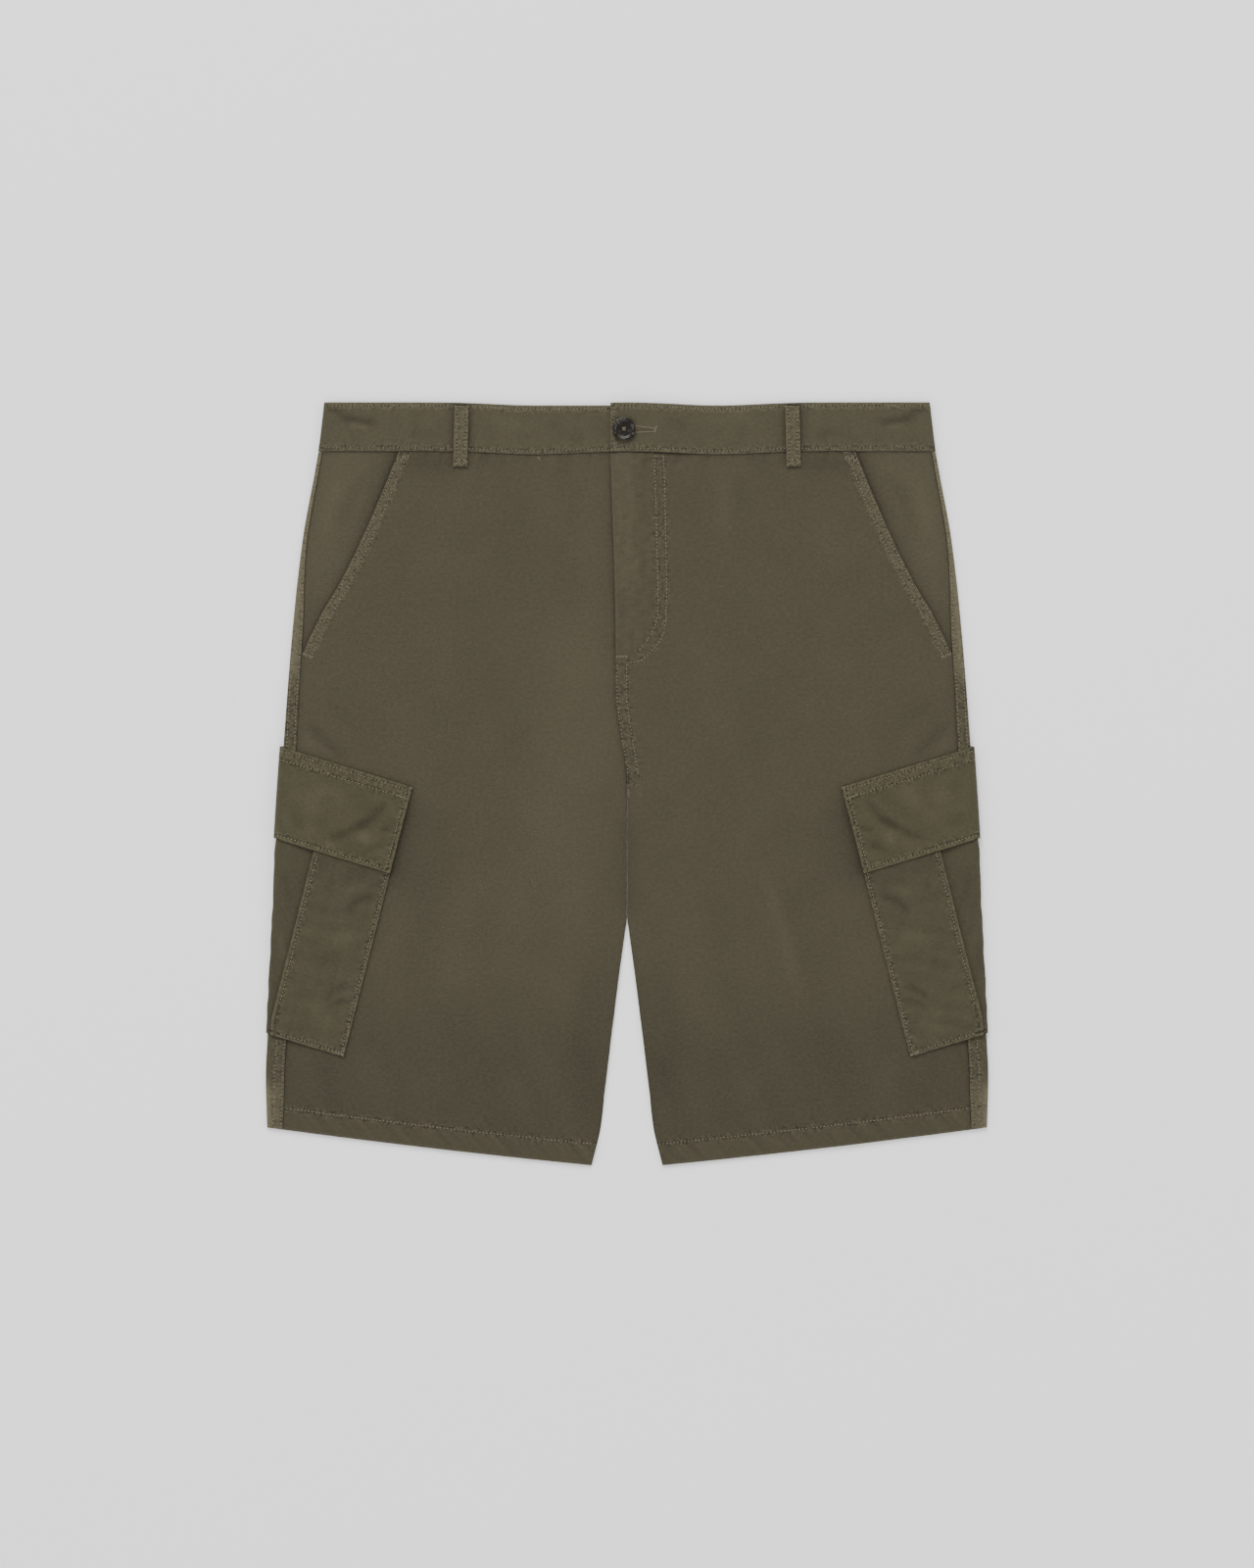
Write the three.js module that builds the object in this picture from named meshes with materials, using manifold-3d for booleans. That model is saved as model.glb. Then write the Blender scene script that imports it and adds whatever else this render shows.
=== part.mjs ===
// Cargo shorts laid flat with the front side up.
// Millimetres. +X is the wearer's left, +Y runs to the waist and +Z is up from the surface they lie on.
// The origin is on that surface, under the middle of the garment.
// "Out" is the distance from the centre line to either side. "Round" is the distance from the side
// fold, positive over the front and negative under the back.

import * as THREE from 'three';
import Module from 'manifold-3d';
import { mergeVertices } from 'three/addons/utils/BufferGeometryUtils.js';

// Overall lengths along Y
const BODY_LENGTH = 584.2;
const WAIST_TOP = BODY_LENGTH / 2;
const BAND_HEIGHT = 37.8;
const WAIST_SEAM = WAIST_TOP - BAND_HEIGHT;
const MOUTH_END = 98.6;
const CROTCH = -9.4;
const LEGS_PART = -100.9;

// The hem runs from the inner corner of the leg up to the side fold, bowed down a little between.
const HEM = { innerOut: 26, innerY: -WAIST_TOP, outerOut: 275.7, outerY: -263, bow: 1.2 };

// Cloth walls and the space between layers
const WALL = 1.0;
const FLAP_WALL = 1.2;
const BAND_WALL = 1.6;
const LOOP_WALL = 1.0;
const SEAM_GAP = 0.3;
const LAYER_GAP = 0.4;

// The space inside the garment: least at its edges, more inside each leg
const EDGE_LOFT = 0.5;
const LEG_LOFT = 1.6;
const LOFT_REACH = 60;
const LEAST_LOFT = 0.35;

// How far cloth takes to settle beside a piece that lies under it
const BACK_MARGIN = 24;
const BACK_SETTLE = 40;
const FRONT_SETTLE = 60;
const NEAR_MARGIN = 2;
const NEAR_SETTLE = 24;

// Widths of the two body halves: outline, and how far in from it the side seam lies on the front
const OUTLINE = [
  { y: 292.1, half: 231.9, seamIn: 3.0 },
  { y: 254.3, half: 236.5, seamIn: 3.2 },
  { y: 187.0, half: 248.6, seamIn: 3.8 },
  { y: 112.0, half: 256.9, seamIn: 8.5 },
  { y: 30.0, half: 262.9, seamIn: 10.0 },
  { y: -38.0, half: 267.4, seamIn: 12.0 },
  { y: -113.0, half: 271.2, seamIn: 13.5 },
  { y: -188.0, half: 275.0, seamIn: 15.0 },
  { y: -225.0, half: 276.7, seamIn: 14.5 },
  { y: -264.0, half: 275.7, seamIn: 12.0 },
];

// The centre: half the space between the legs, how far the left front laps over to the right, and
// how far the right front runs on to the left beneath it
const CENTRE = [
  { y: 254.3, legGap: 0.15, lapOver: 12.9, lapUnder: 0.2 },
  { y: 98.0, legGap: 0.15, lapOver: 8.95, lapUnder: 3.3 },
  { y: 68.0, legGap: 0.15, lapOver: 8.95, lapUnder: 3.3 },
  { y: 37.0, legGap: 0.15, lapOver: 5.2, lapUnder: 1.6 },
  { y: 0.0, legGap: 0.15, lapOver: 0, lapUnder: 0 },
  { y: -100.9, legGap: 0.15, lapOver: 0, lapUnder: 0 },
  { y: -113.0, legGap: 1.5, lapOver: 0, lapUnder: 0 },
  { y: -143.0, legGap: 5.6, lapOver: 0, lapUnder: 0 },
  { y: -188.0, legGap: 11.3, lapOver: 0, lapUnder: 0 },
  { y: -263.0, legGap: 21.0, lapOver: 0, lapUnder: 0 },
  { y: -292.1, legGap: 27.2, lapOver: 0, lapUnder: 0 },
];

// Height at which the left front stops lapping over the right
const LAP_END = 0;

// The slanted mouth of the hip pocket
const MOUTH = [
  { y: 254.3, out: 174.6 },
  { y: 217.9, out: 189.6 },
  { y: 176.3, out: 208.3 },
  { y: 148.9, out: 222.5 },
  { y: 131.6, out: 233.0 },
  { y: 98.6, out: 249.0 },
];
const FACING_LAP = 15;
const FACING_END = 88;

// The largest folds of the front, on both legs. Height is up, and a trough is below zero.
const FOLDS = [
  { x: -246, y: 46, toX: -212, toY: 14, width: 17, height: -0.8 },
  { x: -244, y: 22, toX: -226, toY: 0, width: 15, height: 0.6 },
  { x: 99, y: -52, toX: 128, toY: -176, width: 16, height: 1.2 },
  { x: 72, y: 236, toX: 70, toY: 170, width: 13, height: 1.0 },
  { x: 20, y: -2, toX: 62, toY: 24, width: 12, height: 0.9 },
  { x: -24, y: -6, toX: -70, toY: 18, width: 12, height: 0.9 },
  { x: -60, y: -150, toX: -44, toY: -236, width: 15, height: -0.8 },
  { x: 52, y: -160, toX: 40, toY: -240, width: 15, height: -0.8 },
  { x: -150, y: -205, toX: -120, toY: -262, width: 16, height: 1.0 },
  { x: 190, y: -222, toX: 168, toY: -268, width: 16, height: 0.9 },
  { x: 244, y: 44, toX: 214, toY: 12, width: 17, height: -0.7 },
];

// Cargo pocket, in its own directions: across from its front edge round to the back, and down from
// the top edge of the flap. The corner is where those two edges meet.
const POCKET_CORNER = { round: 102.8, y: -2.1 };
const ACROSS_SLOPE = THREE.MathUtils.degToRad(16.7);
const DOWN_SLOPE = THREE.MathUtils.degToRad(11.5);
const POCKET_TOP = 26;
const POCKET_BOTTOM = 210.9;
const POCKET_WIDTH = 180;
const STRIP_WIDTH = 61.9;
const PLEAT_LAP = 10;
const FLAP_HEIGHT = 67.5;
const FLAP_OVERHANG = 1;
const STRIP_LEAST_ROUND = 3.8;

const FLAP_END = POCKET_WIDTH + FLAP_OVERHANG;
const FLAP_BOX = { left: -FLAP_OVERHANG, right: FLAP_END, top: 0, bottom: FLAP_HEIGHT };
const POCKET_BOX = { left: 0, right: POCKET_WIDTH, top: POCKET_TOP, bottom: POCKET_BOTTOM };
const PLEAT_BOX = { ...POCKET_BOX, left: STRIP_WIDTH - PLEAT_LAP };
const STRIP_BOX = { ...POCKET_BOX, right: STRIP_WIDTH };

// Waistband: its lower faces under the back and over the front, and its two ends at the fly. The lap
// comes down to the rest of the band between lapSettles and lapSettled.
const BAND_BACK = LOOP_WALL + SEAM_GAP;
const BAND_FRONT = BAND_BACK + BAND_WALL + EDGE_LOFT;
const BAND_LAP = { overEnd: -12.7, underEnd: 20, margin: 4, settle: 36 };
const BAND_COLUMNS = { lapSettles: 32, lapSettled: 74, plainFrom: 106 };
const WAIST_DIP = { depth: 2.4, out: 70, reach: 42 };
const PANEL_IN_BAND = 0.3;
const WAIST_SETTLE = 60;
const BACK_WAIST_MARGIN = 12;
const BACK_WAIST_SETTLE = 36;

// Belt loops
const LOOP = { width: 11, top: 289.4, bottom: 242.8, arch: 0.7, lean: 1.2, steps: 8 };
const FRONT_LOOP_OUT = 127;
const BACK_LOOP_OUT = 150;

// Button, and half of its section from the middle of its foot round the rim to the dish
const BUTTON = { x: -2.3, y: 271.5, sides: 36 };
const BUTTON_SECTION = [
  { out: 0, up: 0 },
  { out: 7.35, up: 0 },
  { out: 8.35, up: 0.7 },
  { out: 8.75, up: 1.65 },
  { out: 8.25, up: 2.8 },
  { out: 7.8, up: 3.0 },
  { out: 7.15, up: 2.65 },
  { out: 6.15, up: 2.1 },
  { out: 0, up: 2.1 },
];
const THREAD_HOLES = { count: 4, radius: 0.85, fromCentre: 1.9, length: 12, sides: 12 };

// Grid steps
const FRONT_STEPS = { across: 11, edgeColumns: [0, 7, 14] };
const BACK_STEPS = { strip: 0, under: 11 };
const FACING_STEPS = { down: 9, across: 4 };
const PLEAT_STEPS = { front: 3, back: 5 };
const FLAP_STEPS = { down: 6, front: 9, back: 4 };
const STRIP_STEPS = { underFlap: 2, down: 8, across: 6 };
const BAND_STEPS = { up: 3, overLap: 3, settling: 4, plain: 4, back: 14, under: 10 };
const MEET_ROUNDS = 4;
const PANEL_ROWS = [
  { from: WAIST_SEAM - SEAM_GAP / 2, to: MOUTH_END, steps: 8 },
  { from: MOUTH_END, to: CROTCH, steps: 6 },
  { from: CROTCH, to: LEGS_PART, steps: 5 },
  { from: LEGS_PART, to: (HEM.innerY + HEM.outerY) / 2, steps: 9 },
];
const FOLD_STEPS = 6;
const FOLD_REACH = 4.6;

const clamp = (value) => Math.min(Math.max(value, 0), 1);
const mix = (from, to, share) => from + (to - from) * share;

// Rises from 0 to 1 with a soft start and end.
function ease(value) {
  const share = clamp(value);
  return share * share * (3 - 2 * share);
}

// Rises from 0 to 1, steeply at first.
const roundOff = (value) => 1 - (1 - clamp(value)) ** 2;

// Evenly spaced values, both ends included.
function spread(from, to, steps) {
  return Array.from({ length: steps + 1 }, (_, k) => mix(from, to, k / steps));
}

// Reads a column of a table at a height, along a smooth curve that doesn't overshoot its rows.
function readTable(table, column, y) {
  const last = table.length - 1;
  if (y >= table[0].y) return table[0][column];
  if (y <= table[last].y) return table[last][column];
  const below = table.findIndex((row) => row.y <= y);
  const above = below - 1;
  const secant = (k) => (table[k + 1][column] - table[k][column]) / (table[k + 1].y - table[k].y);
  const slopeAt = (k) => {
    if (k === 0) return secant(0);
    if (k === last) return secant(last - 1);
    const before = secant(k - 1);
    const after = secant(k);
    return before * after > 0 ? 2 * before * after / (before + after) : 0;
  };
  const span = table[below].y - table[above].y;
  const share = (y - table[above].y) / span;
  const rest = 1 - share;
  return table[above][column] * (1 + 2 * share) * rest * rest
    + table[below][column] * (3 - 2 * share) * share * share
    + span * share * rest * (slopeAt(above) * rest - slopeAt(below) * share);
}

const outline = (y) => readTable(OUTLINE, 'half', y);
const sideSeam = (y) => outline(y) - readTable(OUTLINE, 'seamIn', y);
const legGap = (y) => readTable(CENTRE, 'legGap', y);

// How far a piece beneath lifts the cloth over it, as a share of its thickness.
const lift = (distance, margin, settle) => 1 - ease((distance - margin) / settle);

// Where a point of the pocket lies on the unfolded leg, and the other way about.
function onLeg(across, down) {
  return {
    round: POCKET_CORNER.round - across * Math.cos(ACROSS_SLOPE) - down * Math.sin(DOWN_SLOPE),
    y: POCKET_CORNER.y + across * Math.sin(ACROSS_SLOPE) - down * Math.cos(DOWN_SLOPE),
  };
}

function onPocket(round, y) {
  const inward = POCKET_CORNER.round - round;
  const below = POCKET_CORNER.y - y;
  const skew = Math.cos(ACROSS_SLOPE - DOWN_SLOPE);
  return {
    across: (inward * Math.cos(DOWN_SLOPE) - below * Math.sin(DOWN_SLOPE)) / skew,
    down: (inward * Math.sin(ACROSS_SLOPE) + below * Math.cos(ACROSS_SLOPE)) / skew,
  };
}

// Distance from a place on the unfolded leg to a rectangle of the pocket.
function distanceTo(box, round, y) {
  const { across, down } = onPocket(round, y);
  const beside = Math.max(box.left - across, across - box.right, 0);
  const beyond = Math.max(box.top - down, down - box.bottom, 0);
  return Math.hypot(beside, beyond);
}

// Distance from a point to a fold's centre line.
function distanceToFold(fold, x, y) {
  const along = new THREE.Vector2(fold.toX - fold.x, fold.toY - fold.y);
  const from = new THREE.Vector2(x - fold.x, y - fold.y);
  const share = clamp(from.dot(along) / along.lengthSq());
  return from.addScaledVector(along, -share).length();
}

function foldHeight(x, y) {
  return FOLDS.reduce((sum, fold) => {
    const spans = distanceToFold(fold, x, y) / fold.width;
    return sum + fold.height * Math.exp(-spans * spans);
  }, 0);
}

function hemAt(out) {
  const share = (out - HEM.innerOut) / (HEM.outerOut - HEM.innerOut);
  return mix(HEM.innerY, HEM.outerY, share) - HEM.bow * 4 * share * (1 - share);
}

// The lifts that the pocket and flap under the back give to the layers above.
function pocketLift(out, y, settle) {
  const round = out - outline(y);
  const flap = (FLAP_WALL + LAYER_GAP) * lift(distanceTo(FLAP_BOX, round, y), BACK_MARGIN, settle);
  const pocket = (WALL + LAYER_GAP) * lift(distanceTo(POCKET_BOX, round, y), BACK_MARGIN, settle);
  return { flap, pocket };
}

// Lower face of the back panel.
function backBase(out, y) {
  const { flap, pocket } = pocketLift(out, y, BACK_SETTLE);
  const waist = (BAND_BACK + PANEL_IN_BAND) * lift(WAIST_SEAM - y, BACK_WAIST_MARGIN, BACK_WAIST_SETTLE);
  return flap + pocket + waist;
}

// Lower face of the cloth that lies over the space inside the garment.
function frontBase(x, y) {
  const out = Math.abs(x);
  const { flap, pocket } = pocketLift(out, y, FRONT_SETTLE);
  const fullness = roundOff((out - legGap(y)) / LOFT_REACH) * roundOff((outline(y) - out) / LOFT_REACH)
    * roundOff((y - hemAt(out)) / LOFT_REACH) * ease((WAIST_SEAM - y) / LOFT_REACH);
  const atWaist = BAND_FRONT + PANEL_IN_BAND - WALL - EDGE_LOFT;
  const waist = atWaist * lift(WAIST_SEAM - y, 0, WAIST_SETTLE);
  const inside = roundOff((outline(y) - out) / NEAR_SETTLE);
  const settled = WALL + EDGE_LOFT + flap + pocket + waist;
  const shaped = settled + fullness * LEG_LOFT + inside * foldHeight(x, y);
  return Math.max(shaped, backBase(out, y) + WALL + LEAST_LOFT);
}

// Edges of the front panels. The outer one is the pocket mouth, and below it the side seam.
function frontOuterEdge(y) {
  const seam = sideSeam(y) - SEAM_GAP / 2;
  return y > MOUTH_END ? Math.min(readTable(MOUTH, 'out', y), seam) : seam;
}

function frontInnerEdge(side, y) {
  return legGap(y) - readTable(CENTRE, side > 0 ? 'lapOver' : 'lapUnder', y);
}

const facingInnerEdge = (y) => frontOuterEdge(y) - FACING_LAP;

// Lower face of a front panel, over the hip facing and, on the left, over the right front.
function panelBase(side, out, y) {
  const besideFacing = facingInnerEdge(Math.max(y, FACING_END)) - out;
  const farFromFacing = Math.hypot(Math.max(besideFacing, 0), Math.max(FACING_END - y, 0));
  const overFacing = (WALL + LAYER_GAP) * lift(farFromFacing, NEAR_MARGIN, 2 * NEAR_SETTLE);
  const underEnd = readTable(CENTRE, 'lapUnder', y);
  const farFromLap = Math.hypot(Math.max(out - underEnd, 0), Math.max(LAP_END - y, 0));
  const overLap = (WALL + LAYER_GAP) * lift(farFromLap, 2 * NEAR_MARGIN, 2 * NEAR_SETTLE);
  return frontBase(side * out, y) + overFacing + (side > 0 ? overLap : 0);
}

// Heights of the rows of a body panel. They dip with the waist at the top and turn to the hem below.
const panelLevels = PANEL_ROWS.flatMap(
  ({ from, to, steps }, k) => spread(from, to, steps).slice(k ? 1 : 0));

function waistDip(out) {
  const spans = (Math.abs(out) - WAIST_DIP.out) / WAIST_DIP.reach;
  return WAIST_DIP.depth * Math.exp(-spans * spans);
}

function rowHeight(level, out) {
  const hemLevel = PANEL_ROWS.at(-1).to;
  const toHem = ease((LEGS_PART - level) / (LEGS_PART - hemLevel)) * (hemAt(out) - hemLevel);
  const toWaist = ease(1 - (WAIST_SEAM - level) / WAIST_SETTLE) * waistDip(out);
  return level + toHem - toWaist;
}

// The distance out at which a row meets an edge.
function meet(edge, level) {
  let out = edge(level);
  for (let k = 0; k < MEET_ROUNDS; k += 1) out = edge(rowHeight(level, out));
  return out;
}

const UP = new THREE.Vector3(0, 0, 1);

// A place in a wall that lies flat: the middle of the wall and the way its outer face looks.
const flatPlace = (x, y, middle) => ({ point: new THREE.Vector3(x, y, middle), normal: UP });

// A place in a wall that wraps round the side fold. A layer gives its thickness, its outermost
// distance, and the heights of its lowest and highest faces. A turn of 1 to -1 goes round the fold.
function wrappedPlace(side, layer, { round, turn }, y) {
  const half = layer.wall / 2;
  const outermost = layer.outer(y);
  const nearFold = outermost - FOLD_REACH / 2;
  const radius = (layer.top(nearFold, y) - layer.bottom(nearFold, y)) / 2 - half;
  const centreOut = outermost - half - radius;
  const top = layer.top(centreOut, y);
  const bottom = layer.bottom(centreOut, y);
  if (turn !== undefined) {
    const angle = turn * Math.PI / 2;
    const tall = (top - bottom) / 2 - half;
    const point = new THREE.Vector3(
      side * (centreOut + radius * Math.cos(angle)), y, (top + bottom) / 2 + tall * Math.sin(angle));
    return { point, normal: new THREE.Vector3(side * Math.cos(angle), 0, Math.sin(angle)) };
  }
  const out = outermost - half - Math.abs(round);
  const middle = round > 0 ? layer.top(out, y) - half : layer.bottom(out, y) + half;
  const normal = new THREE.Vector3(0, 0, Math.sign(round));
  return { point: new THREE.Vector3(side * out, y, middle), normal };
}

// Columns from the front edge of a wrapped piece, round the fold, to its back edge.
function columnsRound(frontRound, backRound, frontSteps, backSteps) {
  const front = frontSteps ? spread(frontRound, FOLD_REACH, frontSteps) : [frontRound];
  const fold = spread(1, -1, FOLD_STEPS);
  const back = spread(-FOLD_REACH, backRound, backSteps);
  return [...front.map((round) => ({ round })), ...fold.map((turn) => ({ turn })),
    ...back.map((round) => ({ round }))];
}

// A closed wall from rows of places.
function clothWall(rows, thickness) {
  const across = rows[0].length;
  const places = rows.flat();
  const faces = [1, -1].flatMap((face) => places.map(
    ({ point, normal }) => point.clone().addScaledVector(normal, face * thickness / 2)));
  const outer = (row, column) => row * across + column;
  const inner = (row, column) => places.length + outer(row, column);
  const triangles = [];
  const quad = (a, b, c, d) => triangles.push(a, b, c, a, c, d);
  const lastRow = rows.length - 1;
  const lastColumn = across - 1;
  for (let row = 0; row < lastRow; row += 1) {
    for (let column = 0; column < lastColumn; column += 1) {
      quad(outer(row, column), outer(row + 1, column), outer(row + 1, column + 1), outer(row, column + 1));
      quad(inner(row, column), inner(row, column + 1), inner(row + 1, column + 1), inner(row + 1, column));
    }
    quad(outer(row, 0), inner(row, 0), inner(row + 1, 0), outer(row + 1, 0));
    quad(outer(row, lastColumn), outer(row + 1, lastColumn), inner(row + 1, lastColumn),
      inner(row, lastColumn));
  }
  for (let column = 0; column < lastColumn; column += 1) {
    quad(outer(0, column), outer(0, column + 1), inner(0, column + 1), inner(0, column));
    quad(outer(lastRow, column), inner(lastRow, column), inner(lastRow, column + 1),
      outer(lastRow, column + 1));
  }
  const geometry = new THREE.BufferGeometry();
  geometry.setAttribute('position', new THREE.Float32BufferAttribute(faces.flatMap((p) => p.toArray()), 3));
  geometry.setIndex(volumeOf(faces, triangles) > 0 ? triangles : triangles.reverse());
  geometry.computeVertexNormals();
  return geometry;
}

// Six times the volume inside a list of triangles, below zero where they face inwards.
function volumeOf(points, triangles) {
  let sum = 0;
  for (let k = 0; k < triangles.length; k += 3) {
    const [a, b, c] = triangles.slice(k, k + 3).map((corner) => points[corner]);
    sum += a.dot(b.clone().cross(c));
  }
  return sum;
}

function frontPanel(side) {
  const rows = panelLevels.map((level) => {
    const outer = meet(frontOuterEdge, level);
    const inner = meet((y) => frontInnerEdge(side, y), level);
    const nearOuter = [outer - FACING_LAP - NEAR_MARGIN, outer - FACING_LAP / 2, outer];
    const nearInner = FRONT_STEPS.edgeColumns.map((step) => inner + step);
    const between = spread(nearInner.at(-1), nearOuter[0], FRONT_STEPS.across);
    const outs = [...nearInner.slice(0, -1), ...between, ...nearOuter.slice(1)];
    return outs.map((out) => {
      const y = rowHeight(level, out);
      return flatPlace(side * out, y, panelBase(side, out, y) + WALL / 2);
    });
  });
  return clothWall(rows, WALL);
}

const backLayer = {
  wall: WALL,
  outer: outline,
  bottom: backBase,
  top: (out, y) => frontBase(out, y) + WALL,
};

// The front's folds differ from side to side, so a layer over it is read on its own side.
const onSide = (layer, side) => ({ ...layer, top: (out, y) => layer.top(side * out, y) });

function backPanel(side) {
  const layer = onSide(backLayer, side);
  const rows = panelLevels.map((level) => {
    const seam = meet((y) => sideSeam(y) + SEAM_GAP / 2, level);
    const inner = meet(legGap, level);
    const edge = meet(outline, level) - WALL / 2;
    const columns = columnsRound(edge - seam, inner - edge, BACK_STEPS.strip, BACK_STEPS.under);
    return columns.map((column) => {
      const out = column.turn === undefined ? edge - Math.abs(column.round) : edge;
      return wrappedPlace(side, layer, column, rowHeight(level, out));
    });
  });
  return clothWall(rows, WALL);
}

function hipFacing(side) {
  const levels = spread(WAIST_SEAM - SEAM_GAP / 2, FACING_END, FACING_STEPS.down);
  const rows = levels.map((level) => {
    const outerEdge = meet(sideSeam, level) - SEAM_GAP / 2;
    return spread(meet(facingInnerEdge, level), outerEdge, FACING_STEPS.across).map((out) => {
      const y = rowHeight(level, out);
      return flatPlace(side * out, y, frontBase(side * out, y) + WALL / 2);
    });
  });
  return clothWall(rows, WALL);
}

// Lower faces of the pocket's layers over the front.
const pleatBase = (x, y) => frontBase(x, y) + WALL + LAYER_GAP;

function liftOver(box, x, y) {
  const round = outline(y) + WALL + LAYER_GAP - Math.abs(x);
  return (WALL + LAYER_GAP) * lift(distanceTo(box, round, y), NEAR_MARGIN, NEAR_SETTLE);
}

const stripBase = (x, y) => pleatBase(x, y) + liftOver(PLEAT_BOX, x, y);
const flapBase = (x, y) => stripBase(x, y) + liftOver(STRIP_BOX, x, y);

const pleatLayer = {
  wall: WALL,
  outer: (y) => outline(y) + LAYER_GAP + WALL,
  bottom: (out, y) => pocketLift(out, y, BACK_SETTLE).flap,
  top: (x, y) => pleatBase(x, y) + WALL,
};

const flapLayer = {
  wall: FLAP_WALL,
  outer: (y) => pleatLayer.outer(y) + LAYER_GAP + FLAP_WALL,
  bottom: () => 0,
  top: (x, y) => flapBase(x, y) + FLAP_WALL,
};

// Rows of a wrapped pocket piece, at steps down the pocket.
function pocketRows(side, layer, box, downSteps, steps) {
  const ownLayer = onSide(layer, side);
  return downSteps.map((down) => {
    const start = onLeg(box.left, down);
    const end = onLeg(box.right, down);
    return columnsRound(start.round, end.round, steps.front, steps.back).map((column) => {
      const round = column.turn === undefined ? column.round : column.turn * layer.wall;
      const y = start.y + (start.round - round) * Math.tan(ACROSS_SLOPE);
      return wrappedPlace(side, ownLayer, column, y);
    });
  });
}

const pocketSteps = [
  ...spread(POCKET_TOP, FLAP_HEIGHT, STRIP_STEPS.underFlap),
  ...spread(FLAP_HEIGHT, POCKET_BOTTOM, STRIP_STEPS.down).slice(1),
];

function pocketPleat(side) {
  return clothWall(pocketRows(side, pleatLayer, PLEAT_BOX, pocketSteps, PLEAT_STEPS), WALL);
}

function pocketFlap(side) {
  const steps = spread(0, FLAP_HEIGHT, FLAP_STEPS.down);
  return clothWall(pocketRows(side, flapLayer, FLAP_BOX, steps, FLAP_STEPS), FLAP_WALL);
}

function pocketPanel(side) {
  const rows = pocketSteps.map((down) => {
    const reach = (onLeg(0, down).round - STRIP_LEAST_ROUND) / Math.cos(ACROSS_SLOPE);
    return spread(0, Math.min(STRIP_WIDTH, reach), STRIP_STEPS.across).map((across) => {
      const { round, y } = onLeg(across, down);
      const x = side * (pleatLayer.outer(y) - round);
      return flatPlace(x, y, stripBase(x, y) + WALL / 2);
    });
  });
  return clothWall(rows, WALL);
}

// Behind the lap the band keeps its top edge down, so the lapped end stands a step above it.
function underHeight(x, level) {
  const dipAtTop = Math.abs(x) < WAIST_DIP.out ? WAIST_DIP.depth : waistDip(x);
  return level - mix(waistDip(x), dipAtTop, (level - WAIST_SEAM) / BAND_HEIGHT);
}

function waistband() {
  const lowerFace = (x) => BAND_FRONT + (BAND_WALL + SEAM_GAP)
    * lift(x - BAND_LAP.underEnd, BAND_LAP.margin, BAND_LAP.settle);
  const layer = {
    wall: BAND_WALL,
    outer: outline,
    bottom: () => BAND_BACK,
    top: () => BAND_FRONT + BAND_WALL,
  };
  const edge = (y) => outline(y) - BAND_WALL / 2;
  const rows = spread(WAIST_SEAM + SEAM_GAP / 2, WAIST_TOP, BAND_STEPS.up).map((level) => {
    const flatTo = edge(level) - FOLD_REACH;
    const frontColumns = [
      ...spread(BAND_LAP.overEnd, BAND_LAP.underEnd, BAND_STEPS.overLap),
      ...spread(BAND_COLUMNS.lapSettles, BAND_COLUMNS.lapSettled, BAND_STEPS.settling),
      ...spread(BAND_COLUMNS.plainFrom, flatTo, BAND_STEPS.plain),
    ];
    const front = frontColumns.map(
      (x) => flatPlace(x, level - waistDip(x), lowerFace(x) + BAND_WALL / 2));
    const turnAt = (side, turn) => wrappedPlace(side, layer, { turn }, level);
    const leftFold = spread(1, -1, FOLD_STEPS).map((turn) => turnAt(1, turn));
    const back = spread(flatTo, -flatTo, BAND_STEPS.back).map((x) => ({
      point: new THREE.Vector3(x, underHeight(x, level), BAND_BACK + BAND_WALL / 2),
      normal: UP.clone().negate(),
    }));
    const rightFold = spread(-1, 1, FOLD_STEPS).map((turn) => turnAt(-1, turn));
    const under = spread(-flatTo, BAND_LAP.underEnd, BAND_STEPS.under).map(
      (x) => flatPlace(x, underHeight(x, level), BAND_FRONT + BAND_WALL / 2));
    return [...front, ...leftFold, ...back, ...rightFold, ...under];
  });
  return clothWall(rows, BAND_WALL);
}

// A belt loop is a strip across the waistband that arches a little between its sewn ends.
function beltLoop(x, lowerFace, arch) {
  const rows = spread(LOOP.top, LOOP.bottom, LOOP.steps).map((y) => {
    const share = (LOOP.top - y) / (LOOP.top - LOOP.bottom);
    const middle = lowerFace + arch * Math.sin(Math.PI * share) + LOOP_WALL / 2;
    const shift = Math.sign(x) * LOOP.lean * (share - 0.5);
    return [-0.5, 0, 0.5].map((part) => flatPlace(x + shift + part * LOOP.width, y, middle));
  });
  return clothWall(rows, LOOP_WALL);
}

const wasm = await Module();
wasm.setup();

function toSolid(geometry) {
  const bare = geometry.clone();
  bare.deleteAttribute('normal');
  bare.deleteAttribute('uv');
  const welded = mergeVertices(bare, 1e-4);
  return new wasm.Manifold(new wasm.Mesh({
    numProp: 3,
    vertProperties: new Float32Array(welded.attributes.position.array),
    triVerts: new Uint32Array(welded.index.array),
  }));
}

function toGeometry(solid) {
  const mesh = solid.getMesh();
  const geometry = new THREE.BufferGeometry();
  geometry.setAttribute('position', new THREE.Float32BufferAttribute(mesh.vertProperties, 3));
  geometry.setIndex([...mesh.triVerts]);
  geometry.computeVertexNormals();
  return geometry;
}

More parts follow.
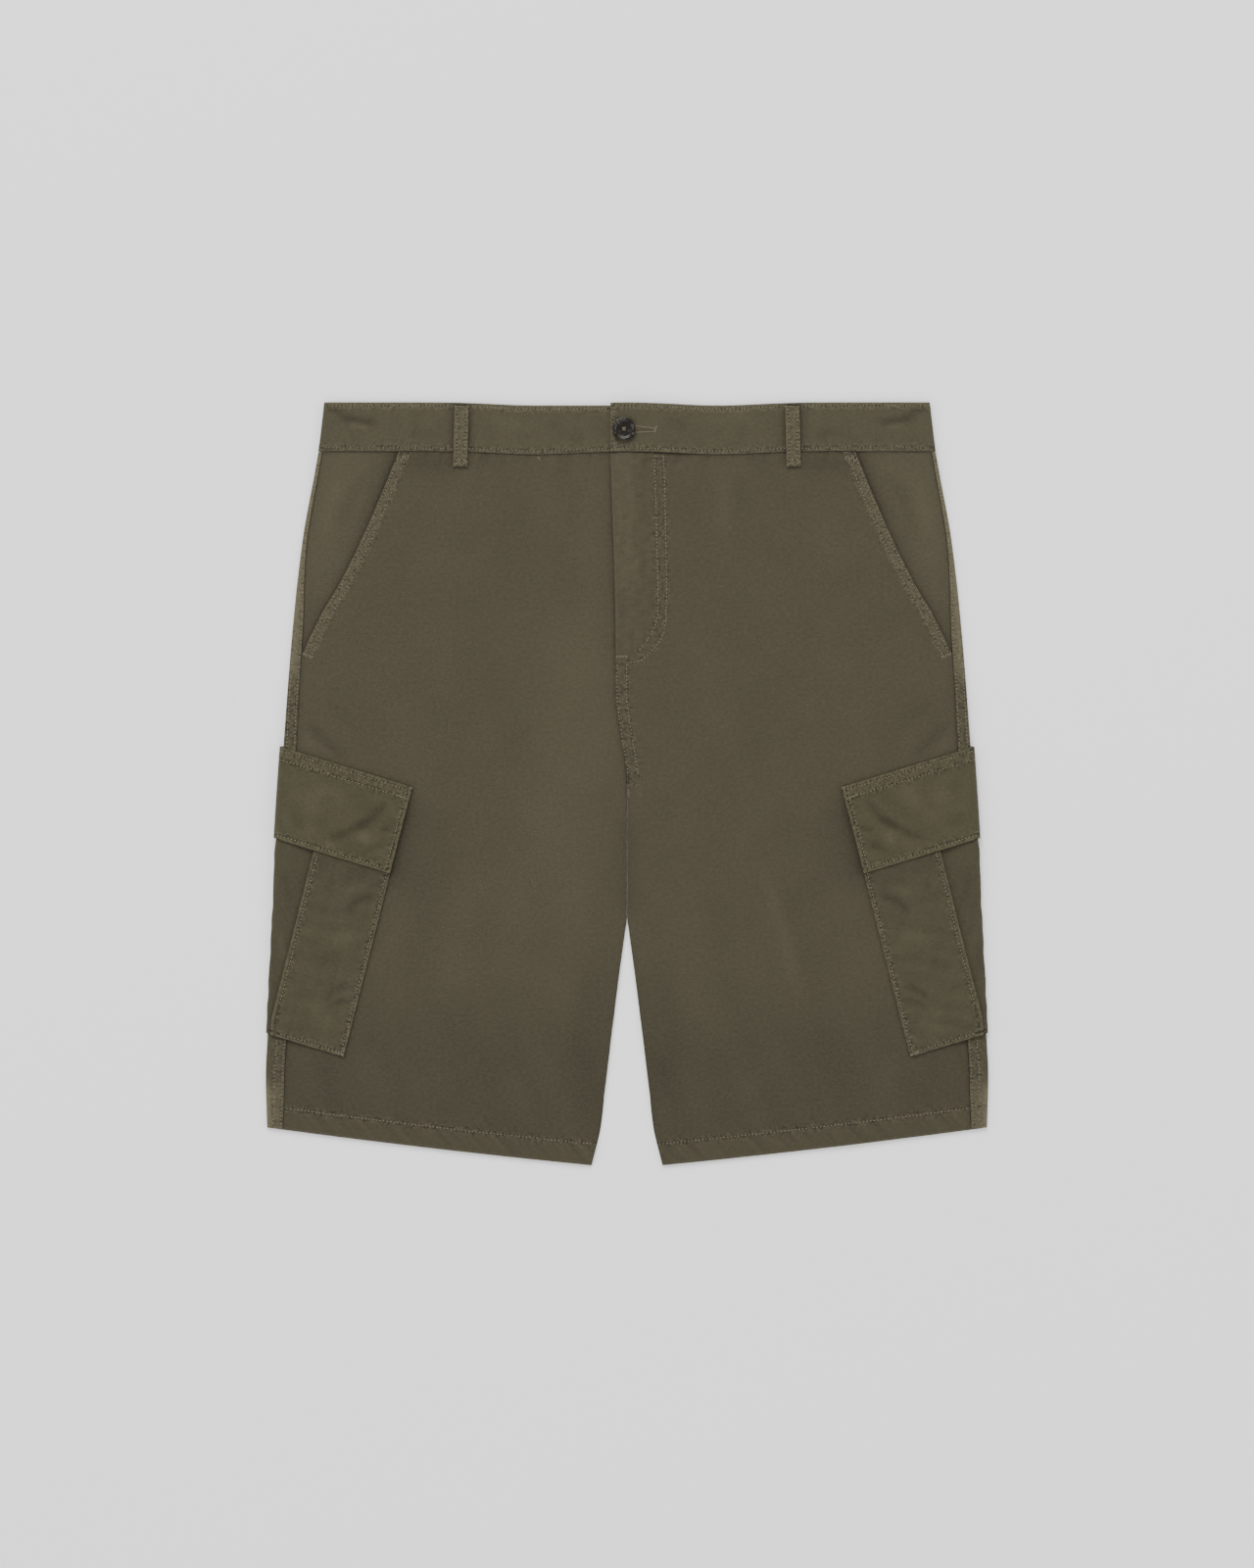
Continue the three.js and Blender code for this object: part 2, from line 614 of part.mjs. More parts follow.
// A round button with a raised rim, a dished middle and four thread holes.
function waistButton() {
  const { count, radius, fromCentre, length, sides } = THREAD_HOLES;
  const section = BUTTON_SECTION.map(({ out, up }) => new THREE.Vector2(out, up));
  let solid = toSolid(new THREE.LatheGeometry(section, BUTTON.sides).rotateX(Math.PI / 2));
  for (let k = 0; k < count; k += 1) {
    const angle = (k + 0.5) * 2 * Math.PI / count;
    const hole = new THREE.CylinderGeometry(radius, radius, length, sides)
      .rotateX(Math.PI / 2)
      .translate(fromCentre * Math.cos(angle), fromCentre * Math.sin(angle), 0);
    solid = solid.subtract(toSolid(hole));
  }
  return toGeometry(solid);
}

const COLOURS = {
  twill: '#56503f',
  band: '#5a5444',
  facing: '#595343',
  pocket: '#544e3e',
  flap: '#555040',
  button: '#2a221c',
};

const shorts = new THREE.Group();

function addPiece(name, geometry, colour, roughness = 0.95) {
  const material = new THREE.MeshStandardMaterial({ color: COLOURS[colour], roughness, metalness: 0 });
  const mesh = new THREE.Mesh(geometry, material);
  mesh.name = name;
  shorts.add(mesh);
  return mesh;
}

addPiece('waistband', waistband(), 'band');
for (const [word, side] of [['right', -1], ['left', 1]]) {
  addPiece(`front_${word}`, frontPanel(side), 'twill');
  addPiece(`back_${word}`, backPanel(side), 'twill');
  addPiece(`hip_facing_${word}`, hipFacing(side), 'facing');
  addPiece(`pocket_pleat_${word}`, pocketPleat(side), 'pocket');
  addPiece(`pocket_panel_${word}`, pocketPanel(side), 'pocket');
  addPiece(`pocket_flap_${word}`, pocketFlap(side), 'flap');
  const frontLoop = beltLoop(side * FRONT_LOOP_OUT, BAND_FRONT + BAND_WALL + SEAM_GAP, LOOP.arch);
  addPiece(`belt_loop_front_${word}`, frontLoop, 'band');
  addPiece(`belt_loop_back_${word}`, beltLoop(side * BACK_LOOP_OUT, 0, 0), 'band');
}
addPiece('belt_loop_back_centre', beltLoop(0, 0, 0), 'band');

const button = addPiece('button', waistButton(), 'button', 0.35);
button.position.set(BUTTON.x, BUTTON.y, BAND_FRONT + 2 * (BAND_WALL + SEAM_GAP));

export default shorts;
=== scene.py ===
"""Cargo shorts laid flat with the front side up, in olive cotton twill.

Sizes in the tables are millimetres, in the frame of the CAD model: +X to the wearer's left, +Y to the
waist, +Z up. "Out" is the distance from the centre line to either side, and "round" the distance from
the side fold, positive over the front and negative under the back. Side is -1 on the wearer's right.
"""

import math

import bpy
import numpy as np
from mathutils import Matrix, Vector
from mathutils.bvhtree import BVHTree


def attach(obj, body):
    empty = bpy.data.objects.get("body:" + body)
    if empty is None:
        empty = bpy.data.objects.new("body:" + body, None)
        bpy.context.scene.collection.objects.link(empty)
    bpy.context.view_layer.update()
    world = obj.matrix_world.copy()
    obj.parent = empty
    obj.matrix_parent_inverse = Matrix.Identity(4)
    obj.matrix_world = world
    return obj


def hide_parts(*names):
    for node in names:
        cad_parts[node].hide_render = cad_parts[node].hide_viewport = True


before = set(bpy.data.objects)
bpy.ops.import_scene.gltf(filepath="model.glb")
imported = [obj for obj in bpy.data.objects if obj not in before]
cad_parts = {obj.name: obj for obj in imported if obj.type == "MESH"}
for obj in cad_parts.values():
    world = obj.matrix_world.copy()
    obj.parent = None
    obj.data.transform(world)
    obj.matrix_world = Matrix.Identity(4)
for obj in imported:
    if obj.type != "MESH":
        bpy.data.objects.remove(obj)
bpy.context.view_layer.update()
BODY = "root"
MM = 0.001

bl_info = {
    "name": "Cargo Shorts",
    "version": (1, 0, 0),
    "blender": (4, 5, 0),
    "location": "View3D > Sidebar > Shorts",
    "description": "Builds a pair of cargo shorts laid flat, piece by piece",
    "category": "Add Mesh",
}

# Overall lengths
WAIST_TOP = 292.1
BAND_HEIGHT = 37.8
WAIST_SEAM = WAIST_TOP - BAND_HEIGHT
MOUTH_END = 98.6
LEGS_PART = -100.9
HEM_INNER_OUT, HEM_INNER_Y = 26.0, -292.1
HEM_OUTER_OUT, HEM_OUTER_Y = 275.7, -263.0
HEM_BOW = 1.2
HEM_LEVEL = (HEM_INNER_Y + HEM_OUTER_Y) / 2

# Cloth walls and the space between layers
WALL = 1.0
FLAP_WALL = 1.2
BAND_WALL = 1.6
LOOP_WALL = 1.0
SEAM_GAP = 0.3
LAYER_GAP = 0.4
EDGE_LOFT = 0.5
LEG_LOFT = 1.6
LOFT_REACH = 60.0
LEAST_LOFT = 0.35

# How far cloth takes to settle beside a piece that lies under it
BACK_MARGIN = 24.0
BACK_SETTLE = 40.0
FRONT_SETTLE = 60.0
NEAR_MARGIN = 2.0
NEAR_SETTLE = 24.0
WAIST_SETTLE = 60.0
BACK_WAIST_MARGIN = 12.0
BACK_WAIST_SETTLE = 36.0

# Hip facing, waistband and belt loops
FACING_LAP = 15.0
FACING_END = 88.0
BAND_BACK = LOOP_WALL + SEAM_GAP
BAND_FRONT = BAND_BACK + BAND_WALL + EDGE_LOFT
PANEL_IN_BAND = 0.3
BAND_OVER_END, BAND_UNDER_END = -12.7, 20.0
BAND_LAP_MARGIN, BAND_LAP_SETTLE = 4.0, 36.0
WAIST_DIP, WAIST_DIP_OUT, WAIST_DIP_REACH = 2.4, 70.0, 42.0
LOOP_WIDTH, LOOP_TOP, LOOP_BOTTOM, LOOP_ARCH, LOOP_LEAN = 11.0, 289.4, 242.8, 0.7, 1.2
FRONT_LOOP_OUT, BACK_LOOP_OUT = 127.0, 150.0

# Cargo pocket, in its own directions: across from its front edge and down from the top of the flap
CORNER_ROUND, CORNER_Y = 102.8, -2.1
ACROSS_SLOPE, DOWN_SLOPE = math.radians(16.7), math.radians(11.5)
POCKET_TOP, POCKET_BOTTOM, POCKET_WIDTH = 26.0, 210.9, 180.0
STRIP_WIDTH, PLEAT_LAP, STRIP_LEAST_ROUND = 61.9, 10.0, 3.8
FLAP_HEIGHT, FLAP_OVERHANG = 67.5, 1.0
FLAP_BOX = (-FLAP_OVERHANG, POCKET_WIDTH + FLAP_OVERHANG, 0.0, FLAP_HEIGHT)
POCKET_BOX = (0.0, POCKET_WIDTH, POCKET_TOP, POCKET_BOTTOM)
PLEAT_BOX = (STRIP_WIDTH - PLEAT_LAP, POCKET_WIDTH, POCKET_TOP, POCKET_BOTTOM)
STRIP_BOX = (0.0, STRIP_WIDTH, POCKET_TOP, POCKET_BOTTOM)
FOLD_REACH = 4.6

# Button
BUTTON_X, BUTTON_Y, BUTTON_RADIUS, BUTTON_THICKNESS = -2.3, 271.5, 8.75, 3.0


class SizeTable:
    """Rows of sizes by height, read along a smooth curve that doesn't overshoot them."""

    def __init__(self, names, *rows):
        ordered = np.array(sorted(rows), dtype=float)
        self.heights = ordered[:, 0]
        self.columns = dict(zip(names.split(), ordered[:, 1:].T))

    def read(self, name, y):
        heights, values = self.heights, self.columns[name]
        secants = np.diff(values) / np.diff(heights)
        before, after = secants[:-1], secants[1:]
        total = np.where(before * after > 0, before + after, 1.0)
        inner = np.where(before * after > 0, 2 * before * after / total, 0.0)
        slopes = np.concatenate([secants[:1], inner, secants[-1:]])
        below = np.clip(np.searchsorted(heights, y) - 1, 0, len(heights) - 2)
        span = heights[below + 1] - heights[below]
        share = np.clip((y - heights[below]) / span, 0, 1)
        rest = 1 - share
        ends = values[below] * (1 + 2 * share) * rest ** 2 + values[below + 1] * (3 - 2 * share) * share ** 2
        return ends + span * share * rest * (slopes[below] * rest - slopes[below + 1] * share)


OUTLINE = SizeTable(
    "half seam_in",
    (292.1, 231.9, 3.0), (254.3, 236.5, 3.2), (187.0, 248.6, 3.8), (112.0, 256.9, 8.5), (30.0, 262.9, 10.0),
    (-38.0, 267.4, 12.0), (-113.0, 271.2, 13.5), (-188.0, 275.0, 15.0), (-225.0, 276.7, 14.5),
    (-264.0, 275.7, 12.0),
)
CENTRE = SizeTable(
    "leg_gap lap_over lap_under",
    (254.3, 0.15, 12.9, 0.2), (98.0, 0.15, 8.95, 3.3), (68.0, 0.15, 8.95, 3.3), (37.0, 0.15, 5.2, 1.6),
    (0.0, 0.15, 0, 0), (-100.9, 0.15, 0, 0), (-113.0, 1.5, 0, 0), (-143.0, 5.6, 0, 0), (-188.0, 11.3, 0, 0),
    (-263.0, 21.0, 0, 0), (-292.1, 27.2, 0, 0),
)
MOUTH = SizeTable(
    "out",
    (254.3, 174.6), (217.9, 189.6), (176.3, 208.3), (148.9, 222.5), (131.6, 233.0), (98.6, 249.0),
)

# The largest folds, which the CAD model has too: from x, y to another x, y, then width and height
LARGE_FOLDS = (
    (-246, 46, -212, 14, 17, -0.8), (-244, 22, -226, 0, 15, 0.6), (99, -52, 128, -176, 16, 1.2),
    (72, 236, 70, 170, 13, 1.0), (20, -2, 62, 24, 12, 0.9), (-24, -6, -70, 18, 12, 0.9),
    (-60, -150, -44, -236, 15, -0.8), (52, -160, 40, -240, 15, -0.8), (-150, -205, -120, -262, 16, 1.0),
    (190, -222, 168, -268, 16, 0.9), (244, 44, 214, 12, 17, -0.7),
)
# Creases run from x, y to another x, y, bowed sideways at the middle. A height below zero is a trough.
CREASE_COLUMNS = ("x", "y", "to_x", "to_y", "bow", "width", "height")
FRONT_CREASES = (
    (-251, 49, -214, 12, 3, 4.5, -0.6), (-250, 42, -240, 22, 1, 3.5, 0.4), (-244, 34, -222, 16, 2, 3.0, 0.3),
    (251, 47, 216, 13, -3, 4.5, -0.6), (250, 41, 241, 20, -1, 3.5, 0.4), (-236, 62, -202, 36, 3, 5, -0.2),
    (236, 64, 206, 38, -3, 5, -0.2), (72, 248, 73, 182, 2, 6, 0.35), (84, 244, 86, 196, 1, 7, -0.15),
    (43, 251, 30, 245, 1, 2.2, -0.35), (52, 249, 31, 240, 1, 2.5, 0.3), (-60, 252, -52, 176, -2, 12, 0.12),
    (-84, 240, -92, 140, 2, 14, -0.14), (-140, 238, -158, 150, 4, 15, 0.13),
    (150, 232, 166, 150, -4, 15, 0.13), (12, -6, 54, 18, -4, 8, 0.12), (-14, -8, -58, 16, 4, 8, 0.12),
    (8, 7, 10, -16, 0.5, 2.4, 0.4), (99, -52, 135, -184, 3, 5, 0.34), (112, -56, 150, -176, 4, 9, -0.16),
    (-100, -40, -140, -180, -5, 12, 0.16), (-128, -40, -172, -170, -5, 12, -0.14),
    (-36, -60, -62, -210, 4, 14, 0.14), (-66, -50, -98, -200, 4, 12, -0.12),
    (44, -70, 64, -210, -4, 14, 0.14), (66, -60, 88, -190, -4, 10, -0.12),
    (-26, -130, -38, -230, -2, 8, -0.2), (26, -130, 38, -230, 2, 8, -0.2),
    (-170, 70, -186, -30, -5, 14, 0.13), (172, 72, 188, -28, 5, 14, 0.13), (-112, 110, -84, 0, 6, 15, -0.12),
    (118, 100, 96, 0, -6, 15, -0.12), (-200, -196, -160, -262, -6, 11, 0.22),
    (-96, -214, -72, -276, 4, 11, 0.2), (90, -216, 108, -272, -4, 11, 0.2),
    (206, -196, 180, -258, 5, 11, 0.22), (-238, -205, -222, -256, 2, 8, -0.2),
    (240, -204, 224, -254, -2, 8, -0.2), (-56, 130, -38, 10, 3, 16, 0.16), (60, 126, 76, 20, -3, 14, 0.1),
)
# Soft places of painted shade and painted light: from x, y to another x, y, then width and how much paler
FRONT_SHADES = (
    (-50, 100, -44, -70, 34, 0.34), (-56, -10, -84, -130, 26, 0.25), (-24, 90, -20, 20, 14, 0.3),
    (0, -34, 0, -92, 8, -0.5), (-16, -150, -30, -235, 16, -0.3), (16, -150, 30, -235, 16, -0.3),
    (-176, -14, -186, -60, 14, -0.3), (176, -14, 186, -60, 14, -0.3), (-172, 247, -136, 246, 9, -0.7),
    (172, 247, 136, 246, 9, -0.7), (-118, 247, -100, 247, 7, -0.35), (118, 247, 100, 247, 7, -0.35),
    (-190, -66, -198, -100, 14, -0.2), (190, -66, 198, -100, 14, -0.2), (-30, 235, -26, 110, 12, 0.25),
    (-190, 40, -200, -10, 20, -0.15), (190, 40, 200, -10, 20, -0.15),
)
FACING_CREASES = (
    (-214, 246, -232, 176, -4, 6, 0.35), (-198, 240, -222, 186, -3, 5, -0.3),
    (214, 246, 232, 176, 4, 6, 0.35), (198, 240, 222, 186, 3, 5, -0.3), (-240, 168, -247, 122, 0, 4, -0.25),
    (240, 168, 247, 122, 0, 4, -0.25),
)
BAND_CREASES = (
    (-224, 283, -188, 276, -1.5, 3.0, -0.9), (-214, 274, -196, 272, 1, 1.8, 0.6),
    (224, 283, 188, 276, 1.5, 3.0, -0.9), (214, 274, 196, 272, -1, 1.8, 0.6),
    (-231, 287, -216, 285, 0, 2.2, -0.8), (231, 287, 216, 285, 0, 2.2, -0.8),
    (-172, 268, -140, 264, 2, 4, -0.25), (172, 268, 140, 264, -2, 4, -0.25),
    (-108, 280, -66, 274, -2, 5, 0.25), (62, 276, 104, 281, 2, 5, 0.25), (30, 282, 46, 266, 2, 4, -0.25),
    (-52, 268, -30, 262, 1, 4, -0.2),
)
FLAP_CREASES = (
    (182, -7, 212, -37, -5, 3.4, -0.75), (192, -22, 234, -44, -3, 3.0, -0.6),
    (176, -34, 190, -36, 0, 2.2, -0.5), (183, -47, 201, -52, 1, 2.2, -0.5),
    (197, -37, 205, -45, 0, 4.5, 0.45), (224, -2, 252, -26, 3, 7, 0.3), (206, 2, 226, -14, 0, 6, 0.25),
    (246, -38, 262, -20, 2, 4, -0.3), (216, -54, 240, -46, 1, 3.5, 0.3),
)
STRIP_CREASES = (
    (190, -85, 218, -100, 3, 3.2, -0.6), (196, -78, 222, -88, 2, 4.0, 0.3),
    (210, -153, 233, -166, 2, 2.8, -0.55), (212, -163, 231, -173, 1, 2.4, -0.45),
    (208, -158, 230, -170, 1, 2.0, 0.3), (222, -74, 234, -80, 0, 3, -0.25),
    (206, -112, 240, -122, -3, 6, 0.3), (214, -130, 244, -138, 2, 6, -0.25),
    (222, -184, 246, -176, 2, 4, 0.3),
)
PLEAT_CREASES = (
    (262, -62, 256, -96, 1, 3.2, -0.35), (268, -108, 262, -140, -1, 3.2, 0.35),
    (270, -120, 274, -152, 0, 3, -0.3),
)
BACK_CREASES = (
    (-60, 200, -120, 90, 10, 14, 0.4), (60, 196, 124, 80, -10, 14, 0.45), (-14, 20, -70, -30, -8, 10, 0.5),
    (14, 16, 74, -36, 8, 10, 0.45), (-70, -150, -110, -250, 6, 14, 0.4), (74, -144, 104, -252, -6, 14, 0.4),
    (-180, 160, -150, 60, 8, 16, 0.35), (182, 150, 156, 50, -8, 16, 0.35),
)


def clamp(value):
    return np.clip(value, 0.0, 1.0)


def ease(value):
    """From 0 to 1 with a soft start and end."""
    share = clamp(value)
    return share * share * (3 - 2 * share)


def round_off(value):
    """From 0 to 1, steeply at first."""
    return 1 - (1 - clamp(value)) ** 2


def outline(y):
    return OUTLINE.read("half", y)


def side_seam(y):
    return outline(y) - OUTLINE.read("seam_in", y)


def leg_gap(y):
    return CENTRE.read("leg_gap", y)


def hem_at(out):
    share = (out - HEM_INNER_OUT) / (HEM_OUTER_OUT - HEM_INNER_OUT)
    return HEM_INNER_Y + (HEM_OUTER_Y - HEM_INNER_Y) * share - HEM_BOW * 4 * share * (1 - share)


def lift(distance, margin, settle):
    """How far a piece beneath lifts the cloth over it, as a share of its thickness."""
    return 1 - ease((distance - margin) / settle)


def on_leg(across, down):
    """Where a point of the pocket lies on the unfolded leg."""
    around = CORNER_ROUND - across * math.cos(ACROSS_SLOPE) - down * math.sin(DOWN_SLOPE)
    y = CORNER_Y + across * math.sin(ACROSS_SLOPE) - down * math.cos(DOWN_SLOPE)
    return around, y


def on_pocket(around, y):
    """Where a point of the unfolded leg lies on the pocket."""
    inward, below = CORNER_ROUND - around, CORNER_Y - y
    skew = math.cos(ACROSS_SLOPE - DOWN_SLOPE)
    across = (inward * math.cos(DOWN_SLOPE) - below * math.sin(DOWN_SLOPE)) / skew
    down = (inward * math.sin(ACROSS_SLOPE) + below * math.cos(ACROSS_SLOPE)) / skew
    return across, down


def distance_to(box, around, y):
    """Distance from a place on the unfolded leg to a rectangle of the pocket."""
    left, right, top, bottom = box
    across, down = on_pocket(around, y)
    beside = np.maximum(np.maximum(left - across, across - right), 0)
    beyond = np.maximum(np.maximum(top - down, down - bottom), 0)
    return np.hypot(beside, beyond)


def near_lines(lines, x, y):
    """Sum of soft patches along straight lines: from x, y to another x, y, then width and strength."""
    total = np.zeros(np.broadcast(x, y).shape)
    for start_x, start_y, end_x, end_y, width, strength in lines:
        run_x, run_y = end_x - start_x, end_y - start_y
        share = clamp(((x - start_x) * run_x + (y - start_y) * run_y) / (run_x ** 2 + run_y ** 2))
        distance = np.hypot(x - start_x - share * run_x, y - start_y - share * run_y)
        total += strength * np.exp(-(distance / width) ** 2)
    return total


def crease_height(creases, x, y):
    """Soft troughs and ridges that fade out at both ends."""
    total = np.zeros(np.broadcast(x, y).shape)
    for row in creases:
        crease = dict(zip(CREASE_COLUMNS, row))
        run = Vector((crease["to_x"] - crease["x"], crease["to_y"] - crease["y"]))
        length = run.length
        share = ((x - crease["x"]) * run.x + (y - crease["y"]) * run.y) / length ** 2
        aside = ((y - crease["y"]) * run.x - (x - crease["x"]) * run.y) / length
        aside = aside - crease["bow"] * 4 * share * (1 - share)
        fade = ease(share / 0.3) * ease((1 - share) / 0.3)
        total += crease["height"] * fade * np.exp(-(aside / crease["width"]) ** 2)
    return total


def pocket_lift(out, y, settle):
    """The lifts that the flap and pocket under the back give to the layers above."""
    around = out - outline(y)
    flap = (FLAP_WALL + LAYER_GAP) * lift(distance_to(FLAP_BOX, around, y), BACK_MARGIN, settle)
    pocket = (WALL + LAYER_GAP) * lift(distance_to(POCKET_BOX, around, y), BACK_MARGIN, settle)
    return flap, pocket


def back_base(out, y):
    """Lower face of the back panel."""
    flap, pocket = pocket_lift(out, y, BACK_SETTLE)
    band = (BAND_BACK + PANEL_IN_BAND) * lift(WAIST_SEAM - y, BACK_WAIST_MARGIN, BACK_WAIST_SETTLE)
    return flap + pocket + band


def front_base(x, y):
    """Lower face of the cloth over the space inside the garment."""
    out = np.abs(x)
    flap, pocket = pocket_lift(out, y, FRONT_SETTLE)
    fullness = (round_off((out - leg_gap(y)) / LOFT_REACH) * round_off((outline(y) - out) / LOFT_REACH)
                * round_off((y - hem_at(out)) / LOFT_REACH) * ease((WAIST_SEAM - y) / LOFT_REACH))
    at_waist = BAND_FRONT + PANEL_IN_BAND - WALL - EDGE_LOFT
    settled = WALL + EDGE_LOFT + flap + pocket + at_waist * lift(WAIST_SEAM - y, 0, WAIST_SETTLE)
    inside = round_off((outline(y) - out) / NEAR_SETTLE)
    shaped = settled + fullness * LEG_LOFT + inside * near_lines(LARGE_FOLDS, x, y)
    return np.maximum(shaped, back_base(out, y) + WALL + LEAST_LOFT)


def front_outer_edge(y):
    """The pocket mouth, and below it the side seam."""
    seam = side_seam(y) - SEAM_GAP / 2
    return np.where(y > MOUTH_END, np.minimum(MOUTH.read("out", y), seam), seam)


def front_inner_edge(side, y):
    return leg_gap(y) - CENTRE.read("lap_over" if side > 0 else "lap_under", y)


def panel_base(side, out, y):
    """Lower face of a front panel, over the hip facing and, on the left, over the right front."""
    beside_facing = front_outer_edge(np.maximum(y, FACING_END)) - FACING_LAP - out
    from_facing = np.hypot(np.maximum(beside_facing, 0), np.maximum(FACING_END - y, 0))
    over_facing = (WALL + LAYER_GAP) * lift(from_facing, NEAR_MARGIN, 2 * NEAR_SETTLE)
    from_lap = np.hypot(np.maximum(out - CENTRE.read("lap_under", y), 0), np.maximum(-y, 0))
    over_lap = (WALL + LAYER_GAP) * lift(from_lap, 2 * NEAR_MARGIN, 2 * NEAR_SETTLE) if side > 0 else 0.0
    return front_base(side * out, y) + over_facing + over_lap


def pleat_base(x, y):
    return front_base(x, y) + WALL + LAYER_GAP


def layer_lift(box, around, y):
    """How far a pocket piece lifts the one above it."""
    return (WALL + LAYER_GAP) * lift(distance_to(box, around, y), NEAR_MARGIN, NEAR_SETTLE)


def strip_base(x, y):
    around = outline(y) + WALL + LAYER_GAP - np.abs(x)
    return pleat_base(x, y) + layer_lift(PLEAT_BOX, around, y)


def flap_base(x, y):
    around = outline(y) + WALL + LAYER_GAP - np.abs(x)
    return strip_base(x, y) + layer_lift(STRIP_BOX, around, y)


def waist_dip(out):
    return WAIST_DIP * np.exp(-((np.abs(out) - WAIST_DIP_OUT) / WAIST_DIP_REACH) ** 2)


def under_dip(x, level):
    """How low the band lies behind the lap: its top stays down, so the lapped end stands a step above."""
    at_top = np.where(np.abs(x) < WAIST_DIP_OUT, WAIST_DIP, waist_dip(x))
    return waist_dip(x) + (at_top - waist_dip(x)) * (level - WAIST_SEAM) / BAND_HEIGHT


def row_height(level, out):
    """Height of a panel row, which dips with the waist at the top and turns to the hem below."""
    to_hem = ease((LEGS_PART - level) / (LEGS_PART - HEM_LEVEL)) * (hem_at(out) - HEM_LEVEL)
    return level + to_hem - ease(1 - (WAIST_SEAM - level) / WAIST_SETTLE) * waist_dip(out)


def meet(edge, level):
    """The distance out at which a row meets an edge."""
    out = edge(level)
    for _ in range(5):
        out = edge(row_height(level, out))
    return out


# Close relief of the cloth

EDGE_STEPS = np.array((0, 0.15, 0.4, 0.8, 1.3, 1.9, 2.6, 3.4, 4.3, 5.2, 6.1, 7.0, 8.0, 9.2, 10.6, 12.2, 14.0))


def graded(start, end, step):
    """Places from start to end, close together at both ends."""
    length = abs(end - start)
    edge = EDGE_STEPS * min(1.0, 0.4 * length / EDGE_STEPS[-1])
    count = max(2, int((length - 2 * edge[-1]) / step))
    middle = np.linspace(edge[-1], length - edge[-1], count + 1)[1:-1]
    offsets = np.concatenate([edge, middle, length - edge[::-1]])
    return start + offsets * math.copysign(1, end - start)


def graded_between(start, end, count):
    """As graded, for an array of starts and ends: one row of places for each."""
    start, end = np.asarray(start)[:, None], np.asarray(end)[:, None]
    length = end - start
    edge = EDGE_STEPS[None, :] * np.minimum(1.0, 0.4 * length / EDGE_STEPS[-1])
    shares = np.linspace(0, 1, count + 1)[None, 1:-1]
    middle = edge[:, -1:] + shares * (length - 2 * edge[:, -1:])
    return start + np.concatenate([edge, middle, length - edge[:, ::-1]], axis=1)


def waves(along, seed, finest=5.0):
    """Uneven waves along a seam, from about -1 to 1."""
    chance = np.random.default_rng(seed)
    total = np.zeros(np.shape(along))
    for k in range(6):
        length = finest * 1.37 ** k
        total += math.sin(1 + k) * 0.2 + np.sin(2 * math.pi * along / length + chance.uniform(0, 6.3))
    return total / 4


def ripple(x, y, seed, size):
    """Soft uneven undulation over a surface, from about -1 to 1."""
    chance = np.random.default_rng(seed)
    total = np.zeros(np.broadcast(x, y).shape)
    for _ in range(9):
        angle, wave = chance.uniform(0, math.pi), size * chance.uniform(0.6, 1.8)
        across = x * math.cos(angle) + y * math.sin(angle)
        total += np.sin(2 * math.pi * across / wave + chance.uniform(0, 6.3))
    return total / 4


def ridge(distance, width, soft=1.4):
    """1 over a turned edge of that width, 0 past it."""
    return ease((width - distance) / soft + 0.5)


def groove(distance, at, width=0.8):
    """1 on a line of stitches, 0 beside it."""
    return np.exp(-((distance - at) / width) ** 2)


def lip(distance, radius=0.8):
    """The share of its thickness that cloth keeps near a turned edge."""
    return 0.3 + 0.7 * np.sqrt(1 - (1 - clamp(distance / radius)) ** 2)


# Farthest distance from a stitch row that is kept, and a distance at which no edge has any effect
FAR_ROW, FAR = 12.0, 1e3
# How much paler a millimetre of height is painted on doubled cloth, puckers, creases and the pocket mouth:
# painted light and shade of the relief, with fading from use
DOUBLED_SHADE_AND_WEAR = 0.5
WAVE_SHADE_AND_WEAR = 2.8
CREASE_SHADE_AND_WEAR = 1.9
MOUTH_SHADE_AND_WEAR = 2.7
# Shares of its own colour between which the cloth's tone stays
DARKEST, PALEST = 0.45, 2.0


